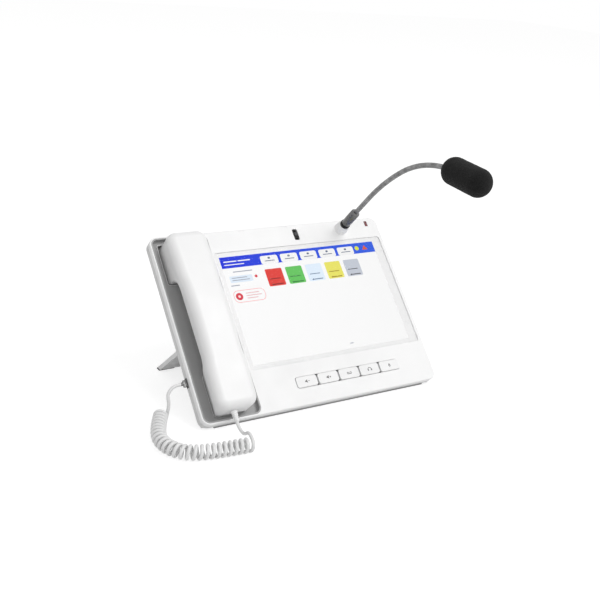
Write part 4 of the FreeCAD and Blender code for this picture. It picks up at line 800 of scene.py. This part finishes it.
# ---------------------------------------------------------------- floor, light and camera
def white_for_camera(tree, plain, shown):
    """Mix of two shaders: the second where the camera, a mirror or clear plastic sees it."""
    paths = tree.nodes.new("ShaderNodeLightPath")
    seen = paths.outputs["Is Camera Ray"]
    for other in ("Is Glossy Ray", "Is Transmission Ray"):
        most = tree.nodes.new("ShaderNodeMath")
        most.operation = "MAXIMUM"
        tree.links.new(seen, most.inputs[0])
        tree.links.new(paths.outputs[other], most.inputs[1])
        seen = most.outputs[0]
    mix = tree.nodes.new("ShaderNodeMixShader")
    tree.links.new(seen, mix.inputs[0])
    tree.links.new(plain, mix.inputs[1])
    tree.links.new(shown, mix.inputs[2])
    return mix.outputs[0]


FLOOR_REACH, FLOOR_DROP = 6, 0.00003
FLOOR_BOUNCE, FLOOR_SHOWN, FLOOR_GLOW = 0.8, 0.42, 0.75
SKY_STRENGTH, BACKDROP_STRENGTH = 0.55, 1.0
floor_corners = [(-FLOOR_REACH, -FLOOR_REACH, 0), (FLOOR_REACH, -FLOOR_REACH, 0),
                 (FLOOR_REACH, FLOOR_REACH, 0), (-FLOOR_REACH, FLOOR_REACH, 0)]
floor_mesh = bpy.data.meshes.new("floor")
floor_mesh.from_pydata(floor_corners, [], [(0, 1, 2, 3)])
floor = bpy.data.objects.new("floor", floor_mesh)
floor.location.z = -FLOOR_DROP
bpy.context.collection.objects.link(floor)
floor_material = bpy.data.materials.new("floor")
floor_material.use_nodes = True
tree = floor_material.node_tree
tree.nodes.clear()
plain = tree.nodes.new("ShaderNodeBsdfDiffuse")
plain.inputs["Color"].default_value = (*grey(FLOOR_BOUNCE), 1.0)
soft = tree.nodes.new("ShaderNodeBsdfDiffuse")
soft.inputs["Color"].default_value = (*grey(FLOOR_SHOWN), 1.0)
glow = tree.nodes.new("ShaderNodeEmission")
glow.inputs["Strength"].default_value = FLOOR_GLOW
both = tree.nodes.new("ShaderNodeAddShader")
tree.links.new(soft.outputs[0], both.inputs[0])
tree.links.new(glow.outputs[0], both.inputs[1])
output = tree.nodes.new("ShaderNodeOutputMaterial")
tree.links.new(white_for_camera(tree, plain.outputs[0], both.outputs[0]), output.inputs[0])
floor_mesh.materials.append(floor_material)

scene = bpy.context.scene
world = bpy.data.worlds.new("studio")
scene.world = world
world.use_nodes = True
tree = world.node_tree
tree.nodes.clear()
sky = tree.nodes.new("ShaderNodeBackground")
backdrop = tree.nodes.new("ShaderNodeBackground")
for background, strength in ((sky, SKY_STRENGTH), (backdrop, BACKDROP_STRENGTH)):
    background.inputs["Color"].default_value = (1.0, 1.0, 1.0, 1.0)
    background.inputs["Strength"].default_value = strength
output = tree.nodes.new("ShaderNodeOutputWorld")
tree.links.new(white_for_camera(tree, sky.outputs[0], backdrop.outputs[0]), output.inputs[0])

LAMP_TARGET = Vector((0.0, 0.05, 0.08))


def lamp(name, place, size, power):
    """Round lamp that points at the middle of the object, size in metres and power in watts."""
    data = bpy.data.lights.new(name, "AREA")
    data.shape = "DISK"
    data.size = size
    data.energy = power
    made = bpy.data.objects.new(name, data)
    made.location = place
    made.rotation_euler = (LAMP_TARGET - Vector(place)).to_track_quat("-Z", "Y").to_euler()
    bpy.context.collection.objects.link(made)


lamp("main_light", (1.1, -1.45, 2.8), size=2.1, power=46.0)
lamp("fill_light", (-0.9, -1.9, 1.5), size=1.4, power=6.5)

AZIMUTH, ELEVATION, ROLL = math.radians(-32.77), math.radians(21.06), math.radians(4.98)
CAMERA_PLACE = Vector((-535.82, -763.88, 483.26)) * MM
SENSOR_WIDTH, FOCAL_LENGTH = 36.0, 54.67
NEAREST, FARTHEST = 0.02, 50.0
camera_data = bpy.data.cameras.new("camera")
camera_data.sensor_width = SENSOR_WIDTH
camera_data.lens = FOCAL_LENGTH
camera_data.clip_start = NEAREST
camera_data.clip_end = FARTHEST
camera = bpy.data.objects.new("camera", camera_data)
bpy.context.collection.objects.link(camera)
ahead = Vector((-math.sin(AZIMUTH) * math.cos(ELEVATION), math.cos(AZIMUTH) * math.cos(ELEVATION),
                -math.sin(ELEVATION)))
level = Vector((math.cos(AZIMUTH), math.sin(AZIMUTH), 0.0))
upright = level.cross(ahead)
right = level * math.cos(ROLL) + upright * math.sin(ROLL)
up = -level * math.sin(ROLL) + upright * math.cos(ROLL)
camera.matrix_world = Matrix.Translation(CAMERA_PLACE) @ Matrix((right, up, -ahead)).transposed().to_4x4()
scene.camera = camera
scene.view_settings.view_transform = "Standard"
